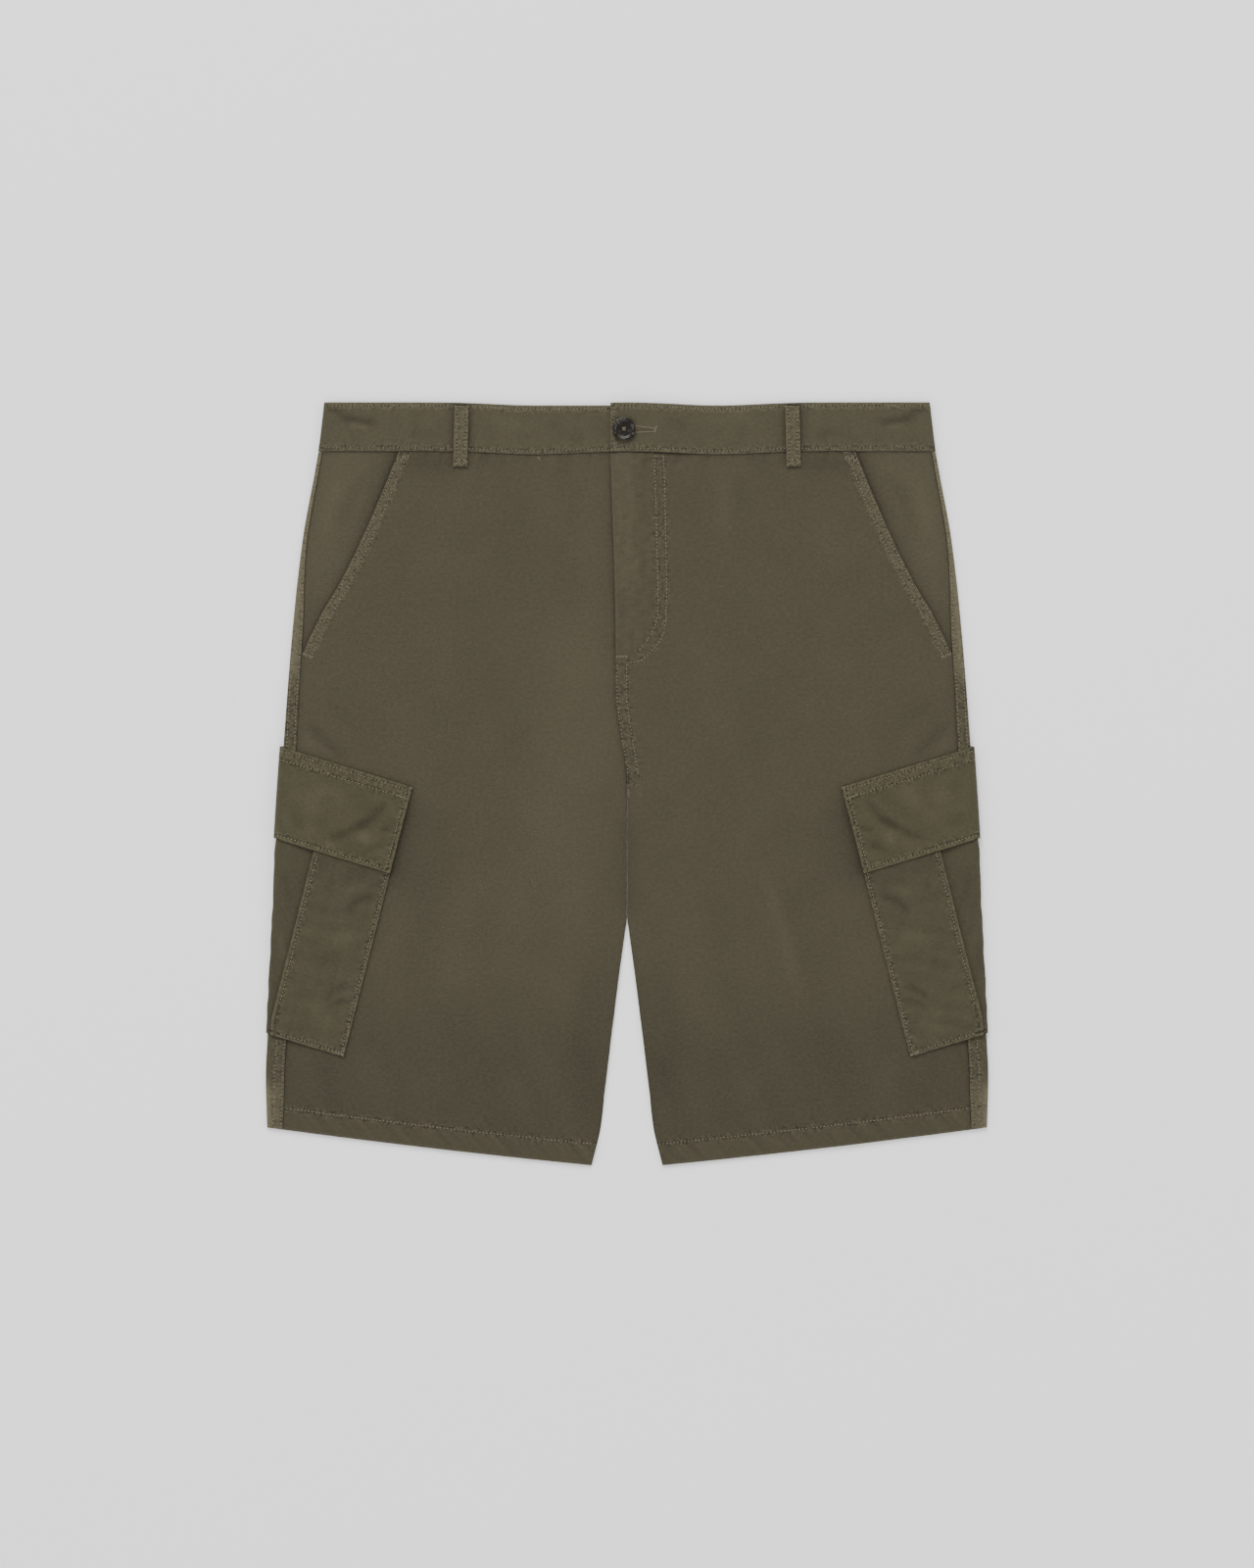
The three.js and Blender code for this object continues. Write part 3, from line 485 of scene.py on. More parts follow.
class Cloth:
    """A wall of cloth as a grid: middle, which way its outer face looks, thickness, flat place and tone."""

    def __init__(self, x, y, middle, wall, flat=None, normal=None):
        self.x, self.y, self.middle = np.broadcast_arrays(x, y, middle)
        self.wall = np.full(self.x.shape, float(wall))
        self.flat = flat if flat is not None else (self.x, self.y)
        self.normal = normal if normal is not None else (np.zeros(self.x.shape), np.ones(self.x.shape))
        self.raised = np.zeros(self.x.shape)
        # Tone: fading from use mixed with painted light and shade, added to the colour.
        self.tone = np.zeros(self.x.shape)
        self.from_row = np.full(self.x.shape, FAR_ROW)
        self.slim = np.ones(self.x.shape)

    def pale_by(self, amount):
        self.tone = self.tone + amount

    def dark_by(self, amount):
        self.tone = self.tone - amount

    def raise_by(self, height, shade_and_wear=1.6):
        """Adds to the outer face alone. Raised cloth is painted paler and sunk cloth darker: painted light
        and shade of the relief, with fading from use.
        """
        self.raised = self.raised + height
        self.pale_by(shade_and_wear * height)

    def move_by(self, height, shade_and_wear=1.3):
        """Moves the whole wall the way its outer face looks, painting it paler where it rises and darker
        where it sinks: painted light and shade, with fading from use.
        """
        self.x = self.x + height * self.normal[0]
        self.middle = self.middle + height * self.normal[1]
        self.pale_by(shade_and_wear * height)

    def sewn(self, distance, at):
        """A stitch line that sinks into the cloth."""
        self.raise_by(-0.14 * groove(distance, at), 0)
        self.from_row = np.minimum(self.from_row, np.abs(distance - at))

    def turned_edge(self, distance):
        """A rounded edge with a pale line along it: painted highlight, with fading from use."""
        self.slim = self.slim * lip(distance)
        self.pale_by(0.8 * groove(distance, 0.8, 0.8))

    def seam_edge(self, distance, depth=0.3, reach=2.5):
        """An edge that dips into a seam, with painted shade along it."""
        self.slim = self.slim * lip(distance, 0.5)
        self.raise_by(-depth * np.exp(-distance / reach))
        self.dark_by(0.9 * np.exp(-distance / 0.9))

    def faces(self):
        """Points of the outer and inner faces in metres, one array of rows by columns by three for each."""
        half = self.wall / 2 * self.slim
        outer = half + np.maximum(self.raised, -0.6 * half)
        inner = -half
        side, up = self.normal
        return [np.stack([self.x + push * side, self.y, self.middle + push * up], axis=-1) * MM
                for push in (outer, inner)]


def deselect_all():
    bpy.ops.object.select_all(action="DESELECT")


def new_piece(name, points, quads, material):
    """A mesh object from arrays of points and faces."""
    mesh = bpy.data.meshes.new(name)
    mesh.vertices.add(len(points))
    mesh.vertices.foreach_set("co", np.asarray(points, dtype=np.float32).ravel())
    sides = quads.shape[1]
    mesh.loops.add(quads.size)
    mesh.loops.foreach_set("vertex_index", quads.astype(np.int32).ravel())
    mesh.polygons.add(len(quads))
    mesh.polygons.foreach_set("loop_start", np.arange(0, quads.size, sides, dtype=np.int32))
    mesh.polygons.foreach_set("use_smooth", np.ones(len(quads), dtype=bool))
    mesh.update(calc_edges=True)
    mesh.validate()
    piece = bpy.data.objects.new(name, mesh)
    bpy.context.scene.collection.objects.link(piece)
    mesh.materials.append(material)
    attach(piece, BODY)
    return piece


def set_values(piece, name, values):
    """Gives every point of a piece a value that its material reads."""
    attribute = piece.data.attributes.new(name, "FLOAT", "POINT")
    attribute.data.foreach_set("value", np.asarray(values, dtype=np.float32).ravel())


def sew_up(name, cloth, material):
    """A closed wall from a cloth grid, with its flat place as UV and its tone as an attribute."""
    rows, columns = cloth.x.shape
    outer, inner = cloth.faces()
    points = np.concatenate([outer.reshape(-1, 3), inner.reshape(-1, 3)])
    number = np.arange(rows * columns).reshape(rows, columns)
    a, b, c, d = number[:-1, :-1], number[1:, :-1], number[1:, 1:], number[:-1, 1:]
    front = np.stack([a, b, c, d], axis=-1).reshape(-1, 4)
    behind = front[:, ::-1] + rows * columns
    rim = np.concatenate([number[0, ::-1], number[1:, 0], number[-1, 1:], number[-2:0:-1, -1]])
    after = np.roll(rim, -1)
    wall = np.stack([rim, rim + rows * columns, after + rows * columns, after], axis=-1)[:, ::-1]
    quads = np.concatenate([front, behind, wall])
    if facing_in(points, quads):
        quads = quads[:, ::-1]
    piece = new_piece(name, points, quads, material)
    set_values(piece, "tone", np.tile(cloth.tone.ravel(), 2))
    set_values(piece, "from_row", np.tile(cloth.from_row.ravel(), 2))
    flat_parts = [np.broadcast_to(part, cloth.x.shape).ravel() for part in cloth.flat]
    flat = np.tile(np.stack(flat_parts, axis=-1), (2, 1))
    corners = np.empty(len(piece.data.loops), dtype=np.int32)
    piece.data.loops.foreach_get("vertex_index", corners)
    layer = piece.data.uv_layers.new(name="flat_cut")
    layer.data.foreach_set("uv", (flat[corners] * MM).astype(np.float32).ravel())
    return piece


def facing_in(points, quads):
    a, b, c, d = (points[quads[:, k]] for k in range(4))
    volume = np.einsum("ij,ij->i", a, np.cross(b, c)) + np.einsum("ij,ij->i", a, np.cross(c, d))
    return volume.sum() < 0


# Shader maths

class Maths:
    """Wraps a shader value so that it can be used in ordinary arithmetic."""

    def __init__(self, shop, socket):
        self.shop = shop
        self.socket = socket

    def _do(self, operation, *values):
        return self.shop.add("ShaderNodeMath", {"operation": operation}, *values)

    def __add__(self, other):
        return self._do("ADD", self, other)

    __radd__ = __add__

    def __mul__(self, other):
        return self._do("MULTIPLY", self, other)

    __rmul__ = __mul__

    def __sub__(self, other):
        return self._do("SUBTRACT", self, other)

    def __rsub__(self, other):
        return self._do("SUBTRACT", other, self)

    def __truediv__(self, other):
        return self._do("DIVIDE", self, other)

    def __pow__(self, other):
        return self._do("POWER", self, other)

    def sine(self):
        return self._do("SINE", self)

    def clamped(self):
        return self.shop.add("ShaderNodeClamp", {}, self)


class MaterialShop:
    """Builds one material's nodes."""

    def __init__(self, name, constants):
        self.material = bpy.data.materials.new(name)
        self.material.use_nodes = True
        self.tree = self.material.node_tree
        self.shader = self.tree.nodes["Principled BSDF"]
        for socket, value in constants.items():
            self.shader.inputs[socket].default_value = value

    def add(self, kind, settings, *values, output=0, **named):
        """Adds a node: its settings first, then what its sockets hold or are linked to."""
        node = self.tree.nodes.new(kind)
        for setting, value in settings.items():
            setattr(node, setting, value)
        inputs = list(zip(node.inputs, values))
        inputs += [(node.inputs[name], value) for name, value in named.items()]
        for socket, value in inputs:
            self.feed(socket, value)
        return Maths(self, node.outputs[output])

    def feed(self, socket, value):
        if isinstance(value, Maths):
            self.tree.links.new(value.socket, socket)
        else:
            socket.default_value = value

    def flat_place(self):
        """The place on the flat cut in millimetres."""
        place = self.add("ShaderNodeUVMap", {"uv_map": "flat_cut"})
        return self.add("ShaderNodeVectorMath", {"operation": "SCALE"}, place, Scale=1 / MM)

    def own_place(self):
        """The place on the object in millimetres."""
        place = self.add("ShaderNodeTexCoord", {}, output="Object")
        return self.add("ShaderNodeVectorMath", {"operation": "SCALE"}, place, Scale=1 / MM)

    def parts(self, vector):
        node = self.tree.nodes.new("ShaderNodeSeparateXYZ")
        self.feed(node.inputs[0], vector)
        return [Maths(self, socket) for socket in node.outputs]

    def noise(self, place, per_mm, detail=2.0, roughness=0.5):
        return self.add("ShaderNodeTexNoise", {}, place, Vector=place, Scale=per_mm, Detail=detail,
                        Roughness=roughness, output=0)

    def value(self, name):
        """A value that the piece holds at every point."""
        return self.add("ShaderNodeAttribute", {"attribute_name": name}, output="Fac")

    def mixed(self, share, first, second):
        node = self.tree.nodes.new("ShaderNodeMix")
        node.data_type = "RGBA"
        for socket, value in ((node.inputs[0], share), (node.inputs[6], first), (node.inputs[7], second)):
            self.feed(socket, value)
        return Maths(self, node.outputs[2])

    def colour(self, value):
        self.feed(self.shader.inputs["Base Color"], value)

    def roughness(self, value):
        self.feed(self.shader.inputs["Roughness"], value)

    def bump(self, height, distance, strength=1.0):
        normal = self.add("ShaderNodeBump", {}, Strength=strength, Distance=distance, Height=height)
        self.feed(self.shader.inputs["Normal"], normal)


def shade(colour, factor):
    return tuple(part * factor for part in colour[:3]) + (1.0,)


def twill(name, colour, sizes):
    """Washed cotton twill: slanting ribs, slubs, fibres and faded patches; paler at edges from painted
    highlight and fading, with painted shade in stitch grooves and on puckers.
    """
    shop = MaterialShop(name, {"Sheen Weight": 0.12, "Sheen Roughness": 0.5, "Specular IOR Level": 0.12})
    place = shop.flat_place()
    u, v, _ = shop.parts(place)
    pitch = sizes.rib_pitch / MM
    rib = (u * (2 * math.pi * 0.86 / pitch) + v * (2 * math.pi * 0.5 / pitch)).sine()
    strand = (v * (2 * math.pi / (0.62 * pitch)) - u * (2 * math.pi * 0.2 / pitch)).sine()
    streak = shop.add("ShaderNodeVectorMath", {"operation": "MULTIPLY"}, place, (0.8, 1.0, 1.0))
    slub = shop.noise(streak, 0.42, 3.0, 0.65)
    patch = shop.noise(place, 0.03, 3.0, 0.55)
    fibre = shop.noise(place, 1.3, 2.0, 0.7)
    from_row = shop.value("from_row")
    beside_row = (1 - from_row / 5.5).clamped() ** 1.3
    row_line = (1 - from_row / 0.85).clamped()
    pucker = (shop.noise(place, 0.42, 2.0, 0.5) - 0.5) * beside_row
    grain = (fibre - 0.5) * 0.7 + (slub - 0.5) * 0.6 + (patch - 0.5) * 0.12 + rib * 0.04 + strand * 0.03
    # Colour level: grain, the tone (fading with painted light and shade), painted shading of the puckers and
    # painted shade in the stitch grooves.
    shade_and_wear = grain + shop.value("tone") * 0.2 + pucker * 3.0 - row_line * 0.5
    level = (shade_and_wear / (PALEST - DARKEST) + (1 - DARKEST) / (PALEST - DARKEST)).clamped()
    shop.colour(shop.mixed(level, shade(colour, DARKEST), shade(colour, PALEST)))
    shop.roughness(0.9 + (slub - 0.5) * 0.12)
    fine = (rib * 0.5 + strand * 0.25 + fibre * 0.9 + slub * 0.5) * sizes.rib_height
    shop.bump(fine + pucker * sizes.pucker_height - row_line * sizes.rib_height * 2.0, 1.0, 0.8)
    return shop.material


def thread(name, colour):
    """Matte twisted cotton thread."""
    shop = MaterialShop(name, {"Roughness": 0.8, "Sheen Weight": 0.1, "Specular IOR Level": 0.2})
    place = shop.own_place()
    u, v, _ = shop.parts(place)
    twist = (u * 14.0 + v * 14.0).sine()
    fuzz = shop.noise(place, 1.5, 2.0)
    level = (0.5 + twist * 0.14 + (fuzz - 0.5) * 0.5 + shop.value("tone") * 0.3).clamped()
    shop.colour(shop.mixed(level, shade(colour, 0.72), shade(colour, 1.28)))
    shop.bump(twist, 0.00004, 0.5)
    return shop.material


def marbled(name, colour, streak):
    """Polished dark plastic with cloudy streaks, like horn."""
    shop = MaterialShop(name, {"Specular IOR Level": 0.3, "Coat Weight": 0.12, "Coat Roughness": 0.1})
    place = shop.own_place()
    clouds = shop.noise(place, 0.16, 4.0, 0.62)
    veins = shop.noise(place, 0.42, 5.0, 0.7)
    vein = (1 - ((veins - 0.5) * 26.0) ** 2.0).clamped()
    level = (((clouds - 0.48) * 6.0).clamped() * 0.85 + 0.05) * vein
    shop.colour(shop.mixed(level, shade(colour, 1.0), shade(streak, 1.0)))
    shop.roughness(0.2 + veins * 0.16)
    shop.bump(veins, 0.00006, 0.25)
    return shop.material


def paper(name, colour):
    """Plain matte floor."""
    shop = MaterialShop(name, {"Roughness": 0.95, "Specular IOR Level": 0.1})
    place = shop.own_place()
    level = (0.5 + (shop.noise(place, 0.004, 2.0) - 0.5) * 0.08).clamped()
    shop.colour(shop.mixed(level, shade(colour, 0.98), shade(colour, 1.02)))
    return shop.material


# Sewing

# How deep stitches sit in the cloth where the garment lies on them, as a share of their width
UNDER_SINK = 1.15
# Height of a stitch as a share of its width
FLATTENED = 0.8
# How far the stitch rows are from the edge beside them
MOUTH_ROWS = (1.7, 6.9)
HEM_ROW = 16.6
BAND_ROW = 2.6
STRIP_ROWS = (1.5, 7.2)
CENTRE_ROWS = (1.3, 8.6)
FLAP_ROWS = (2.9, 9.2)
FLAP_EDGE_ROW = 3.3
POCKET_EDGE_ROW = 2.6


def one_stitch(sizes):
    """A single stitch, one unit long, as points and faces: a plump capsule."""
    deselect_all()
    bpy.ops.mesh.primitive_uv_sphere_add(segments=6, ring_count=5, radius=0.5)
    bead = bpy.context.object
    bpy.ops.transform.rotate(value=math.pi / 2, orient_axis="Y", center_override=(0, 0, 0))
    share = sizes.thread_width / sizes.stitch_length
    bpy.ops.transform.resize(value=(1, share, FLATTENED * share))
    bpy.ops.object.transform_apply(location=True, rotation=True, scale=True)
    mesh = bead.data
    mesh.calc_loop_triangles()
    points = np.array([vertex.co for vertex in mesh.vertices])
    faces = np.array([triangle.vertices for triangle in mesh.loop_triangles])
    bpy.data.objects.remove(bead)
    bpy.data.meshes.remove(mesh)
    return points, faces




class Sewing:
    """Collects the stitches on one piece and joins them into one mesh."""

    def __init__(self, name, piece, sizes, material, under=False):
        self.name, self.piece, self.sizes, self.material = name, piece, sizes, material
        self.step = -1 if under else 1
        mesh = piece.data
        mesh.calc_loop_triangles()
        count = len(mesh.vertices)
        points = np.empty(count * 3, dtype=np.float32)
        mesh.vertices.foreach_get("co", points)
        corners = np.empty(len(mesh.loop_triangles) * 3, dtype=np.int32)
        mesh.loop_triangles.foreach_get("vertices", corners)
        self.tree = BVHTree.FromPolygons(points.reshape(-1, 3).tolist(), corners.reshape(-1, 3).tolist())
        self.places = []
        self.chance = np.random.default_rng(len(name) * 7 + sum(map(ord, name)))

    def surface(self, x, y):
        """The highest point of the piece over x, y, or the lowest from under it, and its normal."""
        start = Vector((x * MM, y * MM, self.step * 0.05))
        hit, normal, _, _ = self.tree.ray_cast(start, Vector((0, 0, -self.step)))
        return hit, normal

    def put(self, x, y, direction, length, width, tone=0.0, sink=0.18):
        hit, normal = self.surface(x, y)
        if hit is None:
            return
        if abs(normal.z) < 0.45:
            return
        normal = normal * math.copysign(1, normal.z) * self.step
        along = Vector((direction[0], direction[1], 0))
        along = (along - normal * along.dot(normal)).normalized()
        aside = normal.cross(along)
        if self.step < 0:
            sink = UNDER_SINK
        spot = hit + normal * (0.5 - sink) * width * 0.6
        turn = Matrix((along * length, aside * width, normal * width)).transposed()
        self.places.append((turn, spot, tone + self.chance.uniform(-0.5, 0.5)))

    def row(self, path, pitch=None, length=None, width=None):
        """Stitches end to end along a path of x, y points in millimetres."""
        sizes = self.sizes
        pitch = (pitch or sizes.stitch_pitch) / MM
        length = length or sizes.stitch_length
        width = width or sizes.thread_width
        path = np.asarray(path, dtype=float)
        steps = np.hypot(*np.diff(path, axis=0).T)
        along = np.concatenate([[0], np.cumsum(steps)])
        centres = np.arange(pitch / 2, along[-1], pitch)
        for centre in centres:
            before, here, after = (
                np.array([np.interp(centre + shift, along, path[:, k]) for k in (0, 1)])
                for shift in (-0.8, 0, 0.8))
            lean = self.chance.normal(0, 0.06)
            run = after - before
            turned = (run[0] - lean * run[1], run[1] + lean * run[0])
            self.put(*here, turned, length * self.chance.uniform(0.9, 1.08), width)

    def bar_tack(self, start, end, reach=2.0, pitch=1.1, lean=0.35, tone=0.0):
        """Short stitches laid across a line, leaning one way and then the other."""
        start, end = np.array(start, dtype=float), np.array(end, dtype=float)
        run = end - start
        count = max(3, int(np.hypot(*run) / pitch))
        along = run / np.hypot(*run)
        across = np.array([-along[1], along[0]])
        for k in range(count + 1):
            direction = across + lean * (-1) ** k * along
            self.put(*(start + run * k / count), direction, reach * MM, self.sizes.thread_width * 0.85, tone)

    def finish(self):
        """Joins the stitches into one piece."""
        unit_points, unit_faces = one_stitch(self.sizes)
        width_share = self.sizes.thread_width / self.sizes.stitch_length
        unit = unit_points / np.array((1, width_share, width_share))
        turns = np.array([np.array(turn) for turn, _, _ in self.places])
        spots = np.array([spot for _, spot, _ in self.places])
        points = np.einsum("nij,pj->npi", turns, unit) + spots[:, None, :]
        count = len(self.places)
        faces = (unit_faces[None] + np.arange(count)[:, None, None] * len(unit)).reshape(-1, 3)
        piece = new_piece(self.name, points.reshape(-1, 3), faces, self.material)
        set_values(piece, "tone", np.repeat([tone for _, _, tone in self.places], len(unit)))
        return piece


# Pieces

def side_name(side):
    return "left" if side > 0 else "right"


def fly_rows():
    """The two curved stitch rows of the fly, from the waist down to the fly end."""
    inner = [(21.0, 252.0), (22.5, 200.0), (23.8, 140.0), (23.6, 131.0), (22.3, 124.0), (20.0, 118.0),
             (16.0, 111.0), (8.5, 101.5)]
    outer = [(28.0, 252.0), (29.4, 200.0), (30.2, 150.0), (30.0, 130.0), (28.6, 119.0), (25.0, 109.0),
             (19.0, 101.5), (10.0, 94.6), (0.8, 92.6)]
    return [smooth_path(inner), smooth_path(outer)]


def smooth_path(points, step=1.5):
    """Points along a curve through the given ones."""
    points = np.array(points, dtype=float)
    along = np.concatenate([[0], np.cumsum(np.hypot(*np.diff(points, axis=0).T))])
    table = [SizeTable("value", *zip(along, points[:, k])) for k in (0, 1)]
    places = np.arange(0, along[-1], step)
    return np.stack([part.read("value", places) for part in table], axis=-1)


def distance_to_path(path, x, y):
    """Distance from a grid of points to a path."""
    nearest = np.full(np.shape(x), FAR)
    for px, py in path:
        nearest = np.minimum(nearest, np.hypot(x - px, y - py))
    return nearest


def front_cloth(side, sizes):
    """One front panel with its mouth band, fly or centre seam, hem and folds."""
    levels = graded(WAIST_SEAM - SEAM_GAP / 2, HEM_LEVEL, 2.3)
    inner_edge = meet(lambda y: front_inner_edge(side, y), levels)
    outer_edge = meet(front_outer_edge, levels)
    out = graded_between(inner_edge, outer_edge, 100)
    level = levels[:, None]
    y = row_height(level, out)
    x = side * out
    cloth = Cloth(x, y, panel_base(side, out, y) + WALL / 2, WALL)
    slant = np.hypot(1, np.gradient(outer_edge, levels))[:, None]
    from_outer = (outer_edge[:, None] - out) / slant
    from_inner = out - inner_edge[:, None]
    from_waist = WAIST_SEAM - waist_dip(out) - y
    from_hem = y - hem_at(out)
    around = outline(y) - out
    beside_pocket, beside_flap = distance_to(POCKET_BOX, around, y), distance_to(FLAP_BOX, around, y)
    clear = 1 - np.maximum(ease(1 - beside_pocket / 8), ease(1 - beside_flap / 6))
    inside = ease(from_outer / 14) * ease(from_hem / 16) * ease(from_waist / 8) * clear
    cloth.move_by(sizes.fold_strength * inside * crease_height(FRONT_CREASES, x, y))
    cloth.move_by(inside * (0.10 * ripple(x, y, 5 + side, 38) + 0.05 * ripple(x, y, 15 + side, 13)), 0.5)
    cloth.pale_by(near_lines(FRONT_SHADES, x, y))
    # Painted shade, darker towards the hem and less on the turned hem band.
    low = ease((-150 - y + 0.08 * out) / 75) * (1 + 0.25 * waves(x + 0.4 * y, 7, 26.0))
    cloth.dark_by(0.62 * low * (1 - 0.75 * ridge(from_hem, 16.4)))

    at_mouth = ease((y - MOUTH_END) / 5)
    cloth.raise_by(0.45 * at_mouth * ridge(from_outer, 8.6), MOUTH_SHADE_AND_WEAR)
    cloth.turned_edge(from_outer + 4 * (1 - at_mouth))
    for at in MOUTH_ROWS:
        cloth.sewn(from_outer + 30 * (1 - at_mouth), at)
    cloth.raise_by(0.22 * at_mouth * ridge(from_outer, 9) * waves(y + 0.5 * from_outer, 3, 4.0), WAVE_SHADE_AND_WEAR)
    cloth.raise_by(0.20 * at_mouth * np.exp(-from_outer / 14) * waves(y - from_outer, 4, 7.0), WAVE_SHADE_AND_WEAR)
    cloth.seam_edge(from_outer + 20 * at_mouth)

    cloth.seam_edge(from_waist, 0.55, 2.2)
    cloth.raise_by(0.18 * np.exp(-from_waist / 11) * waves(x + 0.3 * from_waist, 8, 6.0), WAVE_SHADE_AND_WEAR)
    cloth.raise_by(0.40 * ridge(from_hem, 17), 0)
    # Painted shade beside the pocket and flap edges, and a wide painted shadow in front of the flap.
    cloth.dark_by(0.3 * np.exp(-np.minimum(beside_pocket, beside_flap) / 2.5))
    across, down = on_pocket(around, y)
    in_front = np.exp(-np.maximum(-FLAP_OVERHANG - across, 0) / 17.0)
    cloth.dark_by(1.05 * in_front * ease(down / 26) * ease((FLAP_HEIGHT + 20 - down) / 26))
    cloth.sewn(from_hem, HEM_ROW)
    cloth.turned_edge(from_hem)
    cloth.raise_by(0.24 * groove(from_hem, 12, 10) * waves(x + 0.9 * from_hem, 11 + side, 5.0), WAVE_SHADE_AND_WEAR)
    edge = from_inner if side < 0 else from_inner + FAR * (y > 60)
    cloth.raise_by(-0.25 * np.exp(-edge / 2.0))
    cloth.slim = cloth.slim * lip(from_inner)
    if side > 0:
        add_fly(cloth, from_inner)
    else:
        # Painted shadow of the fly lap along its edge.
        beside_fly = out + front_inner_edge(1, y)
        beside = np.exp(-np.maximum(beside_fly, 0) / 2.6)
        cloth.dark_by(beside * (0.3 + 0.8 * ease((y - 88) / 16)) * ease((y + 5) / 20))
    return cloth


def add_fly(cloth, from_edge):
    """Fly strip, its curved stitch rows and the centre seam below it, on the left front."""
    x, y = cloth.x, cloth.y
    inner, outer = fly_rows()
    near_inner, near_outer = distance_to_path(inner, x, y), distance_to_path(outer, x, y)
    edge_of_strip = np.interp(y[:, 0], inner[::-1, 1], inner[::-1, 0])[:, None]
    within = ease((edge_of_strip - x) / 3) * ease((y - 98) / 6)
    cloth.raise_by(0.28 * within, 0)
    # Painted light on the raised fly strip, mostly in its upper part and within about 22 mm of its edge.
    upper = 0.15 + 0.85 * ease((y - 138) / 30)
    fly_light = ease((22 - from_edge) / 9) * (0.55 + 0.45 * ease(from_edge / 7))
    cloth.pale_by(0.7 * within * upper * fly_light)
    cloth.raise_by(0.14 * within * ripple(x, y, 21, 9) * ease(from_edge / 3), WAVE_SHADE_AND_WEAR)
    for near in (near_inner, near_outer):
        cloth.sewn(near, 0.0)
    above_end = ease((y - 94) / 3)
    # Painted highlight along the fly edge; the edge itself sinks a little and is painted darker.
    cloth.pale_by(0.5 * above_end * groove(from_edge, 0.8, 0.8))
    cloth.raise_by(-0.2 * above_end * np.exp(-from_edge / 0.8))
    below = ease((96 - y) / 4) * ease((y + 12) / 14)
    cloth.raise_by(0.3 * below * ridge(from_edge, 9.2), 0.2)
    cloth.raise_by(0.2 * below * ridge(from_edge, 10) * waves(y, 23, 5.0), WAVE_SHADE_AND_WEAR)
    for at in CENTRE_ROWS:
        cloth.sewn(from_edge + 20 * (1 - below), at)


def wrapped(side, around, turn, y, layer):
    """Places of a layer that wraps round the side fold. A turn from 1 to -1 goes round the fold."""
    wall, outer, top_at, bottom_at = layer
    half = wall / 2
    outermost = outer(y)
    near = outermost - FOLD_REACH / 2
    radius = (top_at(near, y) - bottom_at(near, y)) / 2 - half
    centre = outermost - half - radius
    top, bottom = top_at(centre, y), bottom_at(centre, y)
    angle = np.where(np.isnan(turn), np.sign(around), turn) * math.pi / 2
    out_on_flat = outermost - half - np.abs(around)
    flat_middle = np.where(around > 0, top_at(out_on_flat, y) - half, bottom_at(out_on_flat, y) + half)
    tall = (top - bottom) / 2 - half
    folding = ~np.isnan(turn)
    out = np.where(folding, centre + radius * np.cos(angle), out_on_flat)
    middle = np.where(folding, (top + bottom) / 2 + tall * np.sin(angle), flat_middle)
    normal = (side * np.where(folding, np.cos(angle), 0.0), np.sin(angle))
    return side * out, middle, normal


def grid_round(front_part, back_part, turns):
    """A grid from the front edge round the fold to the back edge: its round distances and its turns."""
    turn = np.tile(np.linspace(1, -1, turns + 1), (len(front_part), 1))
    flat_front, flat_back = (np.full(part.shape, np.nan) for part in (front_part, back_part))
    return (np.concatenate([front_part, turn, back_part], axis=1),
            np.concatenate([flat_front, turn, flat_back], axis=1))


